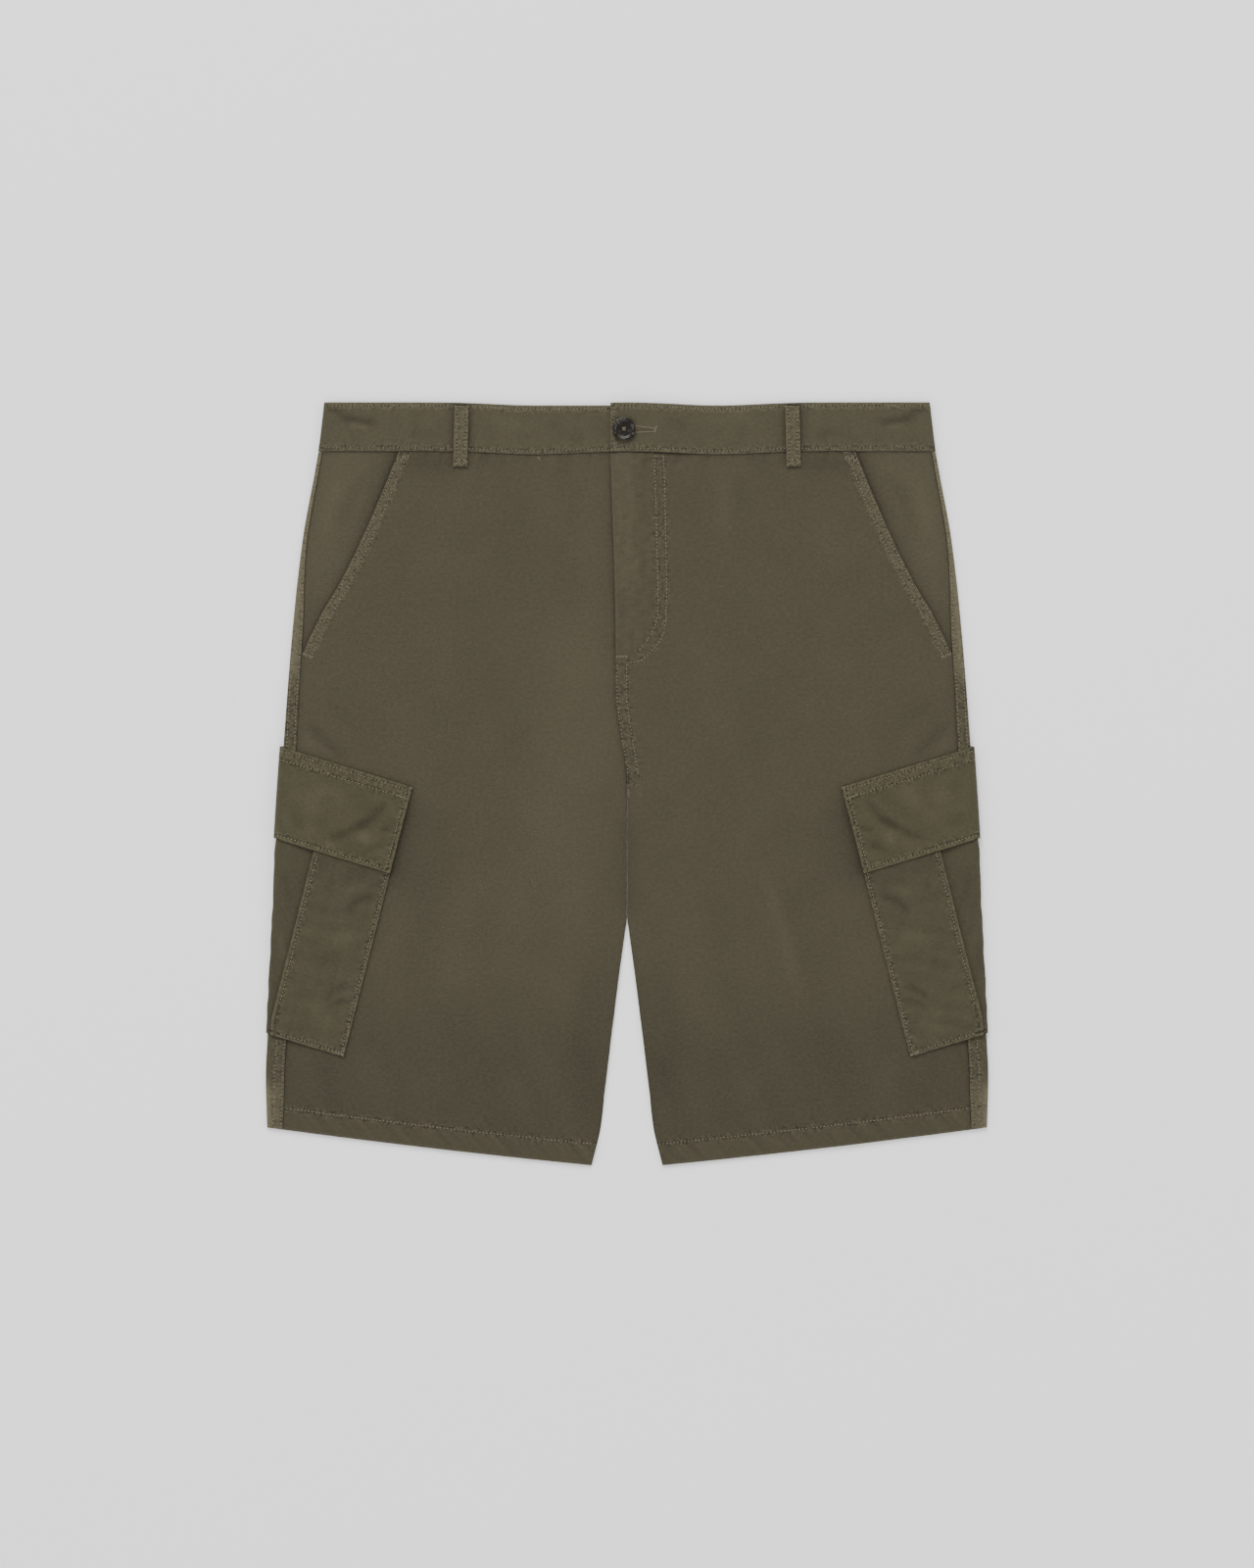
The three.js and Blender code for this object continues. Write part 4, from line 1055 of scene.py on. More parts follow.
def back_cloth(side):
    """One back panel: its strip on the front side, the side fold and the underside."""
    levels = graded(WAIST_SEAM - SEAM_GAP / 2, HEM_LEVEL, 3.2)
    seam = meet(lambda y: side_seam(y) + SEAM_GAP / 2, levels)
    inner = meet(leg_gap, levels)
    edge = meet(outline, levels) - WALL / 2
    strip = edge - seam
    shares = np.array((0, 0.02, 0.05, 0.1, 0.16, 0.24, 0.33, 0.42, 0.52, 0.62, 0.72, 0.82, 0.91))
    least = 1.9
    front_part = strip[:, None] + (least - strip[:, None]) * shares[None, :]
    back_shares = np.concatenate([np.linspace(0, 1, 61), [0.994, 0.9975, 0.999]])
    back_shares.sort()
    back_part = -(least + (edge - inner - least)[:, None] * back_shares[None, :])
    around, turning = grid_round(front_part, back_part, 14)
    out_guess = np.where(np.isnan(turning), edge[:, None] - np.abs(around), edge[:, None])
    y = row_height(levels[:, None], out_guess)
    layer = (WALL, outline, lambda out, y: front_base(side * out, y) + WALL, back_base)
    x, middle, normal = wrapped(side, around, turning, y, layer)
    cloth = Cloth(x, y, middle, WALL, (side * around, y), normal)
    from_seam = strip[:, None] - np.where(around > 0, around, 0) + FAR * (around < 0)
    under = around < -least
    from_centre = np.where(under, out_guess - inner[:, None], FAR)
    from_hem = y - hem_at(np.minimum(out_guess, HEM_OUTER_OUT))
    from_waist = WAIST_SEAM - waist_dip(out_guess) - y
    on_top = np.where(around > 0.5, 1.0, 0.0)
    cloth.raise_by(0.35 * on_top * ridge(from_seam, 8.5), DOUBLED_SHADE_AND_WEAR)
    # Painted light on the strip, and a painted reflection of the pale floor on the turned side, away from the
    # pocket.
    clear = np.maximum(ease((y - 66) / 30), ease((-222 - y) / 16))
    cloth.pale_by(1.3 * on_top * clear)
    cloth.pale_by(5.0 * clear * np.exp(-np.maximum(around, 0) / 3.6) * (around > -1.2))
    cloth.turned_edge(from_seam)
    for at in STRIP_ROWS:
        cloth.sewn(from_seam, at)
    cloth.raise_by(0.18 * on_top * waves(y + from_seam, 31 + side, 4.5), WAVE_SHADE_AND_WEAR)
    cloth.seam_edge(from_waist, 0.3, 2.2)
    cloth.raise_by((0.35 * clamp(normal[1]) - 0.1 * clamp(-normal[1])) * ridge(from_hem, 17), 0)
    cloth.sewn(from_hem, HEM_ROW)
    cloth.turned_edge(from_hem)
    cloth.seam_edge(from_centre, 0.25, 1.5)
    lie = ease((np.where(under, -around, 0) - 6) / 30) * ease(from_hem / 30) * ease(from_waist / 30)
    cloth.middle = cloth.middle + lie * np.maximum(crease_height(BACK_CREASES, x, y), 0) * 0.8
    return cloth


def facing_cloth(side, sizes):
    """The hip facing behind the pocket mouth."""
    levels = graded(WAIST_SEAM - SEAM_GAP / 2, FACING_END, 2.2)
    inner = meet(lambda y: front_outer_edge(y) - FACING_LAP, levels)
    outer = meet(side_seam, levels) - SEAM_GAP / 2
    out = graded_between(inner, outer, 30)
    y = row_height(levels[:, None], out)
    x = side * out
    cloth = Cloth(x, y, front_base(x, y) + WALL / 2, WALL)
    past_mouth = out - meet(front_outer_edge, levels)[:, None]
    from_seam = outer[:, None] - out
    from_waist = WAIST_SEAM - waist_dip(out) - y
    shows = ease(past_mouth / 6) * ease(from_seam / 6) * ease(from_waist / 8)
    cloth.move_by(sizes.fold_strength * shows * crease_height(FACING_CREASES, x, y))
    cloth.move_by(0.06 * shows * ripple(x, y, 41, 22))
    # The facing sinks beside the mouth edge and is painted darker there as painted shade under the mouth
    # edge; farther off it is a little paler.
    dip = ease((past_mouth + 14) / 6) * np.exp(-np.maximum(past_mouth, 0) / 5)
    cloth.move_by(-0.25 * dip * ease((y - MOUTH_END) / 10))
    beside = np.exp(-np.maximum(past_mouth, 0) / 6.0)
    cloth.dark_by(beside * (1.2 + 0.9 * ease((y - 190) / 30)))
    cloth.pale_by(0.12 * ease((past_mouth - 8) / 14))
    cloth.seam_edge(from_seam, 0.3, 2.0)
    cloth.seam_edge(from_waist, 0.5, 2.2)
    return cloth


def band_cloth(sizes):
    """The waistband: lapped end, front, left fold, back, right fold and the end under the lap."""
    rows = graded(WAIST_SEAM + SEAM_GAP / 2, WAIST_TOP, 2.2)
    edge = outline(rows) - BAND_WALL / 2
    least = 1.6
    flat_to = edge - least

    def stretch(starts, ends, shares):
        starts, ends = np.broadcast_to(starts, rows.shape), np.broadcast_to(ends, rows.shape)
        return starts[:, None] + (ends - starts)[:, None] * shares[None, :]

    lap_shares = (graded(0, 240, 1.7) / 240)[:-12]
    lap_shares = lap_shares / lap_shares[-1]
    over = stretch(BAND_OVER_END, flat_to, lap_shares)
    back = stretch(flat_to, -flat_to, np.linspace(0, 1, 140))
    under = stretch(-flat_to, BAND_UNDER_END, np.linspace(0, 1, 140))
    left_turn = np.tile(np.linspace(1, -1, 13), (len(rows), 1))
    parts = (over, left_turn, back, -left_turn, under)
    kinds = np.concatenate([np.full(part.shape[1], k) for k, part in enumerate(parts)])
    value = np.concatenate(parts, axis=1)
    kind = np.tile(kinds, (len(rows), 1))
    over_lap = lift(value - BAND_UNDER_END, BAND_LAP_MARGIN, BAND_LAP_SETTLE)
    front_face = BAND_FRONT + (BAND_WALL + SEAM_GAP) * over_lap
    radius = (BAND_FRONT - BAND_BACK) / 2
    centre = edge[:, None] - radius
    turn_angle = value * math.pi / 2
    side = np.where(kind == 1, 1, -1)
    turning = (kind == 1) | (kind == 3)
    x = np.where(turning, side * (centre + radius * np.cos(turn_angle)), value)
    face = np.select([kind == 0, kind == 2, kind == 4], [front_face, BAND_BACK, BAND_FRONT])
    flat_middle = face + BAND_WALL / 2
    middle_turn = (BAND_FRONT + BAND_BACK + BAND_WALL) / 2 + radius * np.sin(turn_angle)
    middle = np.where(turning, middle_turn, flat_middle)
    normal = (np.where(turning, side * np.cos(turn_angle), 0.0),
              np.where(turning, np.sin(turn_angle), np.where(kind == 2, -1.0, 1.0)))
    y = rows[:, None] - np.where((kind == 4) | (kind == 2), under_dip(x, rows[:, None]), waist_dip(x))
    steps = np.hypot(np.diff(x, axis=1), np.diff(middle, axis=1))
    along = np.concatenate([np.zeros((len(rows), 1)), np.cumsum(steps, axis=1)], axis=1)
    cloth = Cloth(x, y, middle, BAND_WALL, (along, np.broadcast_to(rows[:, None], x.shape)), normal)
    from_top = (WAIST_TOP - rows)[:, None] + 0 * x
    from_seam = (rows - rows[0])[:, None] + 0 * x
    from_end = along
    on_front = (kind == 0) | (kind == 4)
    loops = np.exp(-((np.abs(x) - FRONT_LOOP_OUT) / 9) ** 2) * on_front
    shows = ease(from_top / 4) * ease(from_seam / 4) * ease(from_end / 4) * on_front * (1 - loops)
    cloth.raise_by(sizes.fold_strength * shows * crease_height(BAND_CREASES, x, y), CREASE_SHADE_AND_WEAR)
    cloth.raise_by(0.09 * shows * ripple(x, y, 51, 16))
    front_share = np.where(on_front, 1.0, np.where(turning, 0.5, 0.0)) * (1 - loops)
    # Painted highlight along the top edge.
    cloth.pale_by(1.2 * front_share * ridge(from_top, 5.0, 4.0))
    # Painted shadow on the band beside the front belt loops.
    beside_loop = np.maximum(np.abs(np.abs(x) - FRONT_LOOP_OUT) - LOOP_WIDTH / 2, 0)
    cloth.dark_by(1.5 * on_front * np.exp(-beside_loop / 3.2))
    for distance in (from_top, from_seam):
        cloth.raise_by(0.22 * front_share * ridge(distance, 5.5, 2.5), DOUBLED_SHADE_AND_WEAR)
        puckers = np.exp(-distance / 7) * waves(x + 0.3 * distance, 53, 4.0)
        cloth.raise_by(0.16 * front_share * puckers, WAVE_SHADE_AND_WEAR)
        cloth.sewn(distance, 2.7)
        cloth.turned_edge(distance)
    cloth.raise_by(0.2 * ridge(from_end, 5.0, 2.0) * (kind == 0), DOUBLED_SHADE_AND_WEAR)
    cloth.sewn(from_end + FAR * (kind != 0), BAND_ROW)
    cloth.turned_edge(from_end)
    cloth.turned_edge(along[:, -1:] - along)
    add_buttonhole(cloth, kind == 0)
    return cloth


HOLE_START, HOLE_END = (6.5, 271.4), (21.5, 270.6)


def add_buttonhole(cloth, on_lap):
    """A slit with sewn lips, from under the button to its end bar."""
    run = np.subtract(HOLE_END, HOLE_START)
    length = np.hypot(*run)
    share = ((cloth.x - HOLE_START[0]) * run[0] + (cloth.y - HOLE_START[1]) * run[1]) / length ** 2
    aside = np.abs((cloth.y - HOLE_START[1]) * run[0] - (cloth.x - HOLE_START[0]) * run[1]) / length
    within = ease((share + 0.6) / 0.1) * ease((1 - share) / 0.08) * on_lap
    cloth.raise_by(within * (0.35 * groove(aside, 1.6, 0.9) - 0.45 * groove(aside, 0, 0.55)))
    # Painted shade in the slit.
    cloth.dark_by(1.6 * within * groove(aside, 0, 0.5))


def loop_cloth(x, lower_face, arch, under):
    """A belt loop: a doubled strip that arches between its sewn ends."""
    rows = graded(LOOP_TOP, LOOP_BOTTOM, 1.2)
    across = graded(-LOOP_WIDTH / 2, LOOP_WIDTH / 2, 0.8)
    share = ((LOOP_TOP - rows) / (LOOP_TOP - LOOP_BOTTOM))[:, None]
    shift = np.sign(x) * LOOP_LEAN * (share - 0.5)
    y = rows[:, None] + 0 * across[None, :]
    middle = lower_face + arch * np.sin(math.pi * share) + LOOP_WALL / 2 + 0 * across[None, :]
    face = -1.0 if under else 1.0
    normal = (np.zeros(y.shape), np.full(y.shape, face))
    cloth = Cloth(x + shift + across[None, :], y, middle, LOOP_WALL, (across[None, :] + 0 * y, y), normal)
    from_side = LOOP_WIDTH / 2 - np.abs(across)[None, :] + 0 * y
    from_end = np.minimum(LOOP_TOP - rows, rows - LOOP_BOTTOM)[:, None] + 0 * y
    cloth.turned_edge(from_side)
    cloth.turned_edge(from_end)
    cloth.pale_by(0.95)
    if not under:
        cloth.raise_by(0.30 * groove(from_side, 1.2, 1.0), DOUBLED_SHADE_AND_WEAR)
        cloth.raise_by(0.35 * ridge((rows - LOOP_BOTTOM)[:, None] + 0 * y, 5.0), DOUBLED_SHADE_AND_WEAR)
        cloth.sewn(from_side, 2.3)
        cloth.raise_by(0.15 * waves(y + from_side, 61, 3.4) * ease(from_side / 1.0), WAVE_SHADE_AND_WEAR)
        cloth.sewn((rows - LOOP_BOTTOM)[:, None] + 0 * y, 5.2)
        # Painted shade where the loop steps over the waist seam.
        cloth.dark_by(0.8 * groove((rows - LOOP_BOTTOM)[:, None] + 0 * y, 11.5, 0.8))
        cloth.raise_by(-0.25 * groove((rows - LOOP_BOTTOM)[:, None] + 0 * y, 11.5, 1.0))
    return cloth


def pocket_grid(side, layer, box, downs, front_count, back_count):
    """Grid of a pocket piece that wraps round the side: x, y, middle, normal, round and turn."""
    least = FOLD_REACH
    left, right = box[0], box[1]
    front_start, start_y = on_leg(left, downs)
    back_end, _ = on_leg(right, downs)
    front_shares = graded(0, 100, 100 / front_count) / 100
    front_part = front_start[:, None] + (least - front_start)[:, None] * front_shares[None, :]
    back_shares = graded(0, 100, 100 / back_count) / 100
    back_part = -least + (back_end + least)[:, None] * back_shares[None, :]
    around, turning = grid_round(front_part, back_part, 16)
    y = start_y[:, None] + (front_start[:, None] - around) * math.tan(ACROSS_SLOPE)
    x, middle, normal = wrapped(side, around, turning, y, layer)
    return x, y, middle, normal, around, turning


def pleat_cloth(side, sizes):
    """The recessed pleat of the cargo pocket, round the side to the back edge."""
    downs = graded(POCKET_TOP, POCKET_BOTTOM, 2.4)
    layer = (WALL, lambda y: outline(y) + LAYER_GAP + WALL, lambda out, y: pleat_base(side * out, y) + WALL,
             lambda out, y: pocket_lift(out, y, BACK_SETTLE)[0])
    x, y, middle, normal, around, _ = pocket_grid(side, layer, PLEAT_BOX, downs, 14, 34)
    across, down = on_pocket(around, y)
    cloth = Cloth(x, y, middle, WALL, (side * across, -down + 0 * x), normal)
    on_top = ease((around + 1) / 3)
    from_bottom = (POCKET_BOTTOM - downs)[:, None] + 0 * x
    cloth.raise_by(on_top * sizes.fold_strength * crease_height(PLEAT_CREASES, np.abs(x), y))
    swell = ease((around + 3) / 3) * ease((9 - around) / 6)
    bulge = 0.45 * swell * waves(y, 71, 17.0) * ease(from_bottom / 10)
    cloth.x = cloth.x + side * bulge * np.abs(normal[0])
    cloth.raise_by(0.08 * on_top * ripple(x, y, 73, 14))
    # Painted shade over the recessed pleat, deepest beside the strip edge.
    from_strip = across - STRIP_WIDTH
    cloth.dark_by(on_top * (0.4 + 1.0 * np.exp(-np.maximum(from_strip, 0) / 4.5)))
    cloth.turned_edge(from_bottom)
    from_back = (POCKET_WIDTH - across) + 0 * x
    cloth.turned_edge(from_back)
    cloth.sewn(from_back, POCKET_EDGE_ROW)
    cloth.sewn(from_bottom, POCKET_EDGE_ROW)
    return cloth


def strip_cloth(side, sizes):
    """The front strip of the cargo pocket, from its front edge to the pleat edge."""
    downs = graded(POCKET_TOP, POCKET_BOTTOM, 1.5)
    reach = (on_leg(0, downs)[0] - STRIP_LEAST_ROUND) / math.cos(ACROSS_SLOPE)
    width = np.minimum(STRIP_WIDTH, reach)
    across = graded_between(np.zeros(len(downs)), width, 26)
    around, y = on_leg(across, downs[:, None])
    out = outline(y) + LAYER_GAP + WALL - around
    x = side * out
    from_front, from_pleat = across, width[:, None] - across
    from_bottom = (POCKET_BOTTOM - downs)[:, None] + 0 * x
    from_top = (downs - POCKET_TOP)[:, None] + 0 * x
    cloth = Cloth(x, y, strip_base(x, y) + WALL / 2, WALL, (side * across, -downs[:, None] + 0 * x))
    inside = ease(from_front / 9) * ease(from_pleat / 9) * ease(from_bottom / 9)
    cloth.move_by(0.55 * inside, 0)
    cloth.move_by(sizes.fold_strength * inside * crease_height(STRIP_CREASES, out, y), CREASE_SHADE_AND_WEAR)
    cloth.move_by(0.12 * inside * ripple(x, y, 81, 16), WAVE_SHADE_AND_WEAR)
    below_flap = ease((from_top - (FLAP_HEIGHT - POCKET_TOP) + 2) / 4)
    # Painted shadow under the flap.
    cloth.dark_by(0.1 + 1.1 * np.exp(-np.maximum(from_top - FLAP_HEIGHT + POCKET_TOP, 0) / 10))
    for distance, seed, row in ((from_front, 83, 2.7), (from_pleat, 84, 3.6), (from_bottom, 85, 2.8)):
        # Painted highlight along each turned edge.
        cloth.pale_by(0.7 * groove(distance, 0.9, 1.1))
        cloth.raise_by(0.22 * ridge(distance, 5.0, 2.0), DOUBLED_SHADE_AND_WEAR)
        along = y if distance is not from_bottom else x
        puckers = np.exp(-distance / 8) * waves(along + 0.4 * distance, seed, 4.4)
        cloth.raise_by(0.26 * below_flap * puckers, WAVE_SHADE_AND_WEAR)
        cloth.sewn(distance, row)
        cloth.turned_edge(distance)
    return cloth


def flap_cloth(side, sizes):
    """The pocket flap, round the side to the back."""
    downs = graded(0, FLAP_HEIGHT, 1.5)
    layer = (FLAP_WALL, lambda y: outline(y) + 2 * LAYER_GAP + WALL + FLAP_WALL,
             lambda out, y: flap_base(side * out, y) + FLAP_WALL, lambda out, y: 0.0 * out)
    x, y, middle, normal, around, _ = pocket_grid(side, layer, FLAP_BOX, downs, 52, 26)
    across, down = on_pocket(around, y)
    cloth = Cloth(x, y, middle, FLAP_WALL, (side * across, -down + 0 * x), normal)
    from_front = across + FLAP_OVERHANG
    from_back = POCKET_WIDTH + FLAP_OVERHANG - across
    from_top = downs[:, None] + 0 * x
    from_bottom = (FLAP_HEIGHT - downs)[:, None] + 0 * x
    on_top = ease((around + 1) / 3)
    inside = on_top * ease(from_front / 10) * ease(from_bottom / 10)
    inside = inside * ease((from_top - 9) / 8) * ease(around / 14)
    cloth.move_by(0.6 * inside, 0)
    cloth.move_by(sizes.fold_strength * inside * crease_height(FLAP_CREASES, np.abs(x), y), CREASE_SHADE_AND_WEAR)
    cloth.move_by(0.14 * inside * ripple(x, y, 91, 17), WAVE_SHADE_AND_WEAR)
    cloth.raise_by(0.3 * on_top * ridge(from_top, 10.2) + 0.22 * on_top * ridge(from_front, 5.5, 2.0)
                   + 0.22 * on_top * ridge(from_bottom, 5.5, 2.0), DOUBLED_SHADE_AND_WEAR)
    # Painted shade below the doubled top band.
    below_rows = np.maximum(from_top - 9.6, 0)
    cloth.dark_by(0.75 * on_top * ease(below_rows / 1.2) * np.exp(-below_rows / 6))
    for distance, seed in ((from_front, 93), (from_bottom, 94)):
        # Painted highlight along the front and bottom edges.
        cloth.pale_by(0.5 * on_top * groove(distance, 1.0, 1.2))
        along = y if distance is from_front else x
        puckers = np.exp(-distance / 7) * waves(along + 0.4 * distance, seed, 4.2)
        cloth.raise_by(0.24 * on_top * puckers, WAVE_SHADE_AND_WEAR)
        cloth.sewn(distance, FLAP_EDGE_ROW)
        cloth.turned_edge(distance)
    cloth.raise_by(on_top * 0.2 * ridge(from_top, 11) * waves(x + 0.6 * from_top, 95, 4.0), WAVE_SHADE_AND_WEAR)
    for at in FLAP_ROWS:
        cloth.sewn(from_top, at)
    cloth.turned_edge(from_top)
    cloth.turned_edge(from_back)
    cloth.sewn(from_back, FLAP_EDGE_ROW)
    return cloth


# Stitch rows

def edge_row(side, edge, start, end, inset, step=2.0):
    """A path beside an edge of a panel, from one height to another."""
    heights = np.arange(start, end, -step)
    out = edge(heights)
    slope = np.gradient(out, heights)
    scale = np.hypot(1, slope)
    return np.stack([side * (out - inset / scale), heights + inset * slope / scale], axis=-1)


def hem_row(side, inset):
    out = np.linspace(leg_gap(-270.0) + 1.5, HEM_OUTER_OUT, 120)
    return np.stack([side * out, hem_at(out) + inset], axis=-1)


def pocket_row(side, start, end, grown=0.0, steps=60):
    """A path on the pocket between two places given as across and down."""
    around, y = on_leg(*np.linspace(start, end, steps).T)
    keep = around > 1.0
    out = outline(y) + LAYER_GAP + WALL + grown - around
    return np.stack([side * out, y], axis=-1)[keep]


def under_pocket_row(side, start, end, steps=60):
    """A path on the back half of the pocket."""
    around, y = on_leg(*np.linspace(start, end, steps).T)
    keep = around < -3.0
    out = outline(y) + LAYER_GAP + WALL + around
    return np.stack([side * out, y], axis=-1)[keep]


def sew_front(side, piece, sizes, material):
    sewing = Sewing(f"stitches_front_{side_name(side)}", piece, sizes, material)
    for inset in MOUTH_ROWS:
        sewing.row(edge_row(side, front_outer_edge, WAIST_SEAM - 4.5, MOUTH_END + 1, inset))
    top_out = front_outer_edge(np.array(WAIST_SEAM - 4))
    sewing.bar_tack(
        (side * (top_out - 0.8), WAIST_SEAM - 6.4), (side * (top_out - 8.6), WAIST_SEAM - 4.6), 5.0, 1.9)
    end_out = front_outer_edge(np.array(MOUTH_END + 2))
    sewing.bar_tack(
        (side * (end_out - 0.4), MOUTH_END + 1), (side * (end_out - 7.2), MOUTH_END - 1.8), 3.0, 1.6)
    sewing.row(hem_row(side, HEM_ROW))
    if side > 0:
        for path in fly_rows():
            sewing.row(path)
        sewing.bar_tack((-7.6, 97.5), (0.0, 97.5), 2.2)
        for inset in CENTRE_ROWS:
            sewing.row(edge_row(side, lambda y: front_inner_edge(side, y), 92, 4, -inset))
        sewing.bar_tack((1.0, -4.0), (1.6, -9.0), 1.8)
    else:
        for k in range(3):
            x, y = -68.2 + 0.8 * k, 249.3 - 1.1 * k * (k - 1.4)
            sewing.put(x, y, (0.7, 0.4 - 0.9 * k), 1.7 * MM, sizes.thread_width)
    return sewing.finish()


def sew_back(side, piece, sizes, material):
    sewing = Sewing(f"stitches_back_{side_name(side)}", piece, sizes, material)
    for inset, start in zip(STRIP_ROWS, (246.0, 96.0)):
        sewing.row(edge_row(side, lambda y: side_seam(y) + SEAM_GAP / 2, start, -261, -inset))
    top = sewing.finish()
    below = Sewing(f"stitches_under_{side_name(side)}", piece, sizes, material, under=True)
    below.row(hem_row(side, HEM_ROW))
    for inset in STRIP_ROWS:
        below.row(edge_row(side, leg_gap, 246, -60, -inset))
    return [top, below.finish()]


def sew_band(piece, sizes, material):
    sewing = Sewing("stitches_waistband", piece, sizes, material)
    for height in (WAIST_SEAM + SEAM_GAP / 2 + 2.7, WAIST_TOP - 2.7):
        over = np.arange(BAND_OVER_END + BAND_ROW, 232.0, 1.5)
        under = np.arange(-232.0, BAND_OVER_END - 0.5, 1.5)
        sewing.row(np.stack([over, height - waist_dip(over)], axis=-1))
        sewing.row(np.stack([under, height - under_dip(under, height)], axis=-1))
    sewing.row([(BAND_OVER_END + BAND_ROW, WAIST_TOP - 3), (BAND_OVER_END + BAND_ROW, WAIST_SEAM + 3)])
    run = np.subtract(HOLE_END, HOLE_START)
    aside = np.array([-run[1], run[0]]) / np.hypot(*run)
    for lip_side in (-1, 1):
        start = np.add(HOLE_START, aside * lip_side * 2.6)
        end = np.add(HOLE_END, aside * lip_side * 0.9)
        sewing.bar_tack(start, end, 1.15, 0.5, 0.2, -1.6)
    bar_start, bar_end = np.add(HOLE_END, aside * 3.0) + (0.9, 0), np.add(HOLE_END, aside * -1.6) + (-0.3, 0)
    sewing.bar_tack(bar_start, bar_end, 1.4, 0.5, tone=-0.6)
    top = sewing.finish()
    below = Sewing("stitches_under_waistband", piece, sizes, material, under=True)
    for height in (WAIST_SEAM + SEAM_GAP / 2 + 2.7, WAIST_TOP - 2.7):
        across = np.arange(-232.0, 232.0, 1.5)
        below.row(np.stack([across, height - waist_dip(across)], axis=-1))
    return [top, below.finish()]


def sew_loop(name, x, piece, sizes, material, under):
    sewing = Sewing(f"stitches_{name}", piece, sizes, material, under=under)
    lean = np.sign(x) * LOOP_LEAN
    for offset in (-3.2, 3.2):
        sewing.row([(x + offset - lean / 2, LOOP_TOP - 1.5), (x + offset + lean / 2, LOOP_BOTTOM + 1.5)])
    for height in (LOOP_BOTTOM + 1.6, LOOP_BOTTOM + 5.2):
        shift = lean * ((LOOP_TOP - height) / (LOOP_TOP - LOOP_BOTTOM) - 0.5)
        sewing.row([(x + shift - 4.4, height), (x + shift + 4.4, height)])
    return sewing.finish()


def sew_strip(side, piece, sizes, material):
    sewing = Sewing(f"stitches_pocket_panel_{side_name(side)}", piece, sizes, material)
    bottom = POCKET_BOTTOM
    sewing.row(pocket_row(side, (2.7, POCKET_TOP + 6), (2.7, bottom - 2.8)))
    sewing.row(pocket_row(side, (STRIP_WIDTH - 3.6, POCKET_TOP + 6), (STRIP_WIDTH - 3.6, bottom - 24)))
    sewing.row(pocket_row(side, (2.7, bottom - 2.8), (STRIP_WIDTH - 8, bottom - 2.8)))
    corner = pocket_row(side, (0.9, bottom - 1.6), (6.5, bottom - 1.6))
    sewing.bar_tack(corner[0], corner[-1], 2.2)
    return sewing.finish()


def sew_flap(side, piece, sizes, material):
    grown = FLAP_WALL + LAYER_GAP
    sewing = Sewing(f"stitches_pocket_flap_{side_name(side)}", piece, sizes, material)
    end = 104.0
    for down in FLAP_ROWS:
        sewing.row(pocket_row(side, (1.6, down), (end, down), grown))
    front, low = FLAP_EDGE_ROW - FLAP_OVERHANG, FLAP_HEIGHT - FLAP_EDGE_ROW
    for row_start, row_end in (((front, 4.0), (front, low)), ((front, low), (end, low))):
        sewing.row(pocket_row(side, row_start, row_end, grown))
    tack = pocket_row(side, (0.8, 9.4), (8.6, 9.0), grown)
    sewing.bar_tack(tack[0], tack[-1], 3.2, 1.3, 3.0)
    corner = pocket_row(side, (0.2, 1.2), (0.2, 5.0), grown)
    sewing.bar_tack(corner[0], corner[-1], 1.6)
    top = sewing.finish()
    below = Sewing(f"stitches_under_pocket_flap_{side_name(side)}", piece, sizes, material, under=True)
    far = POCKET_WIDTH + FLAP_OVERHANG - FLAP_EDGE_ROW
    for down in (*FLAP_ROWS, low):
        below.row(under_pocket_row(side, (end, down), (far, down)))
    below.row(under_pocket_row(side, (far, 4.0), (far, low)))
    return [top, below.finish()]


def sew_pleat(side, piece, sizes, material):
    below = Sewing(f"stitches_under_pocket_{side_name(side)}", piece, sizes, material, under=True)
    far, low = POCKET_WIDTH - POCKET_EDGE_ROW, POCKET_BOTTOM - POCKET_EDGE_ROW
    for row_start, row_end in (((far, FLAP_HEIGHT + 2), (far, low)), ((60, low), (far, low))):
        below.row(under_pocket_row(side, row_start, row_end))
    return below.finish()


# Button

def select_faces(piece, wanted):
    """Selects the faces of a piece in edit mode for which wanted says so."""
    bpy.ops.object.mode_set(mode="EDIT")
    bpy.ops.mesh.select_mode(type="FACE")
    bpy.ops.mesh.select_all(action="DESELECT")
    bpy.ops.object.mode_set(mode="OBJECT")
    for face in piece.data.polygons:
        face.select = wanted(face)
    bpy.ops.object.mode_set(mode="EDIT")


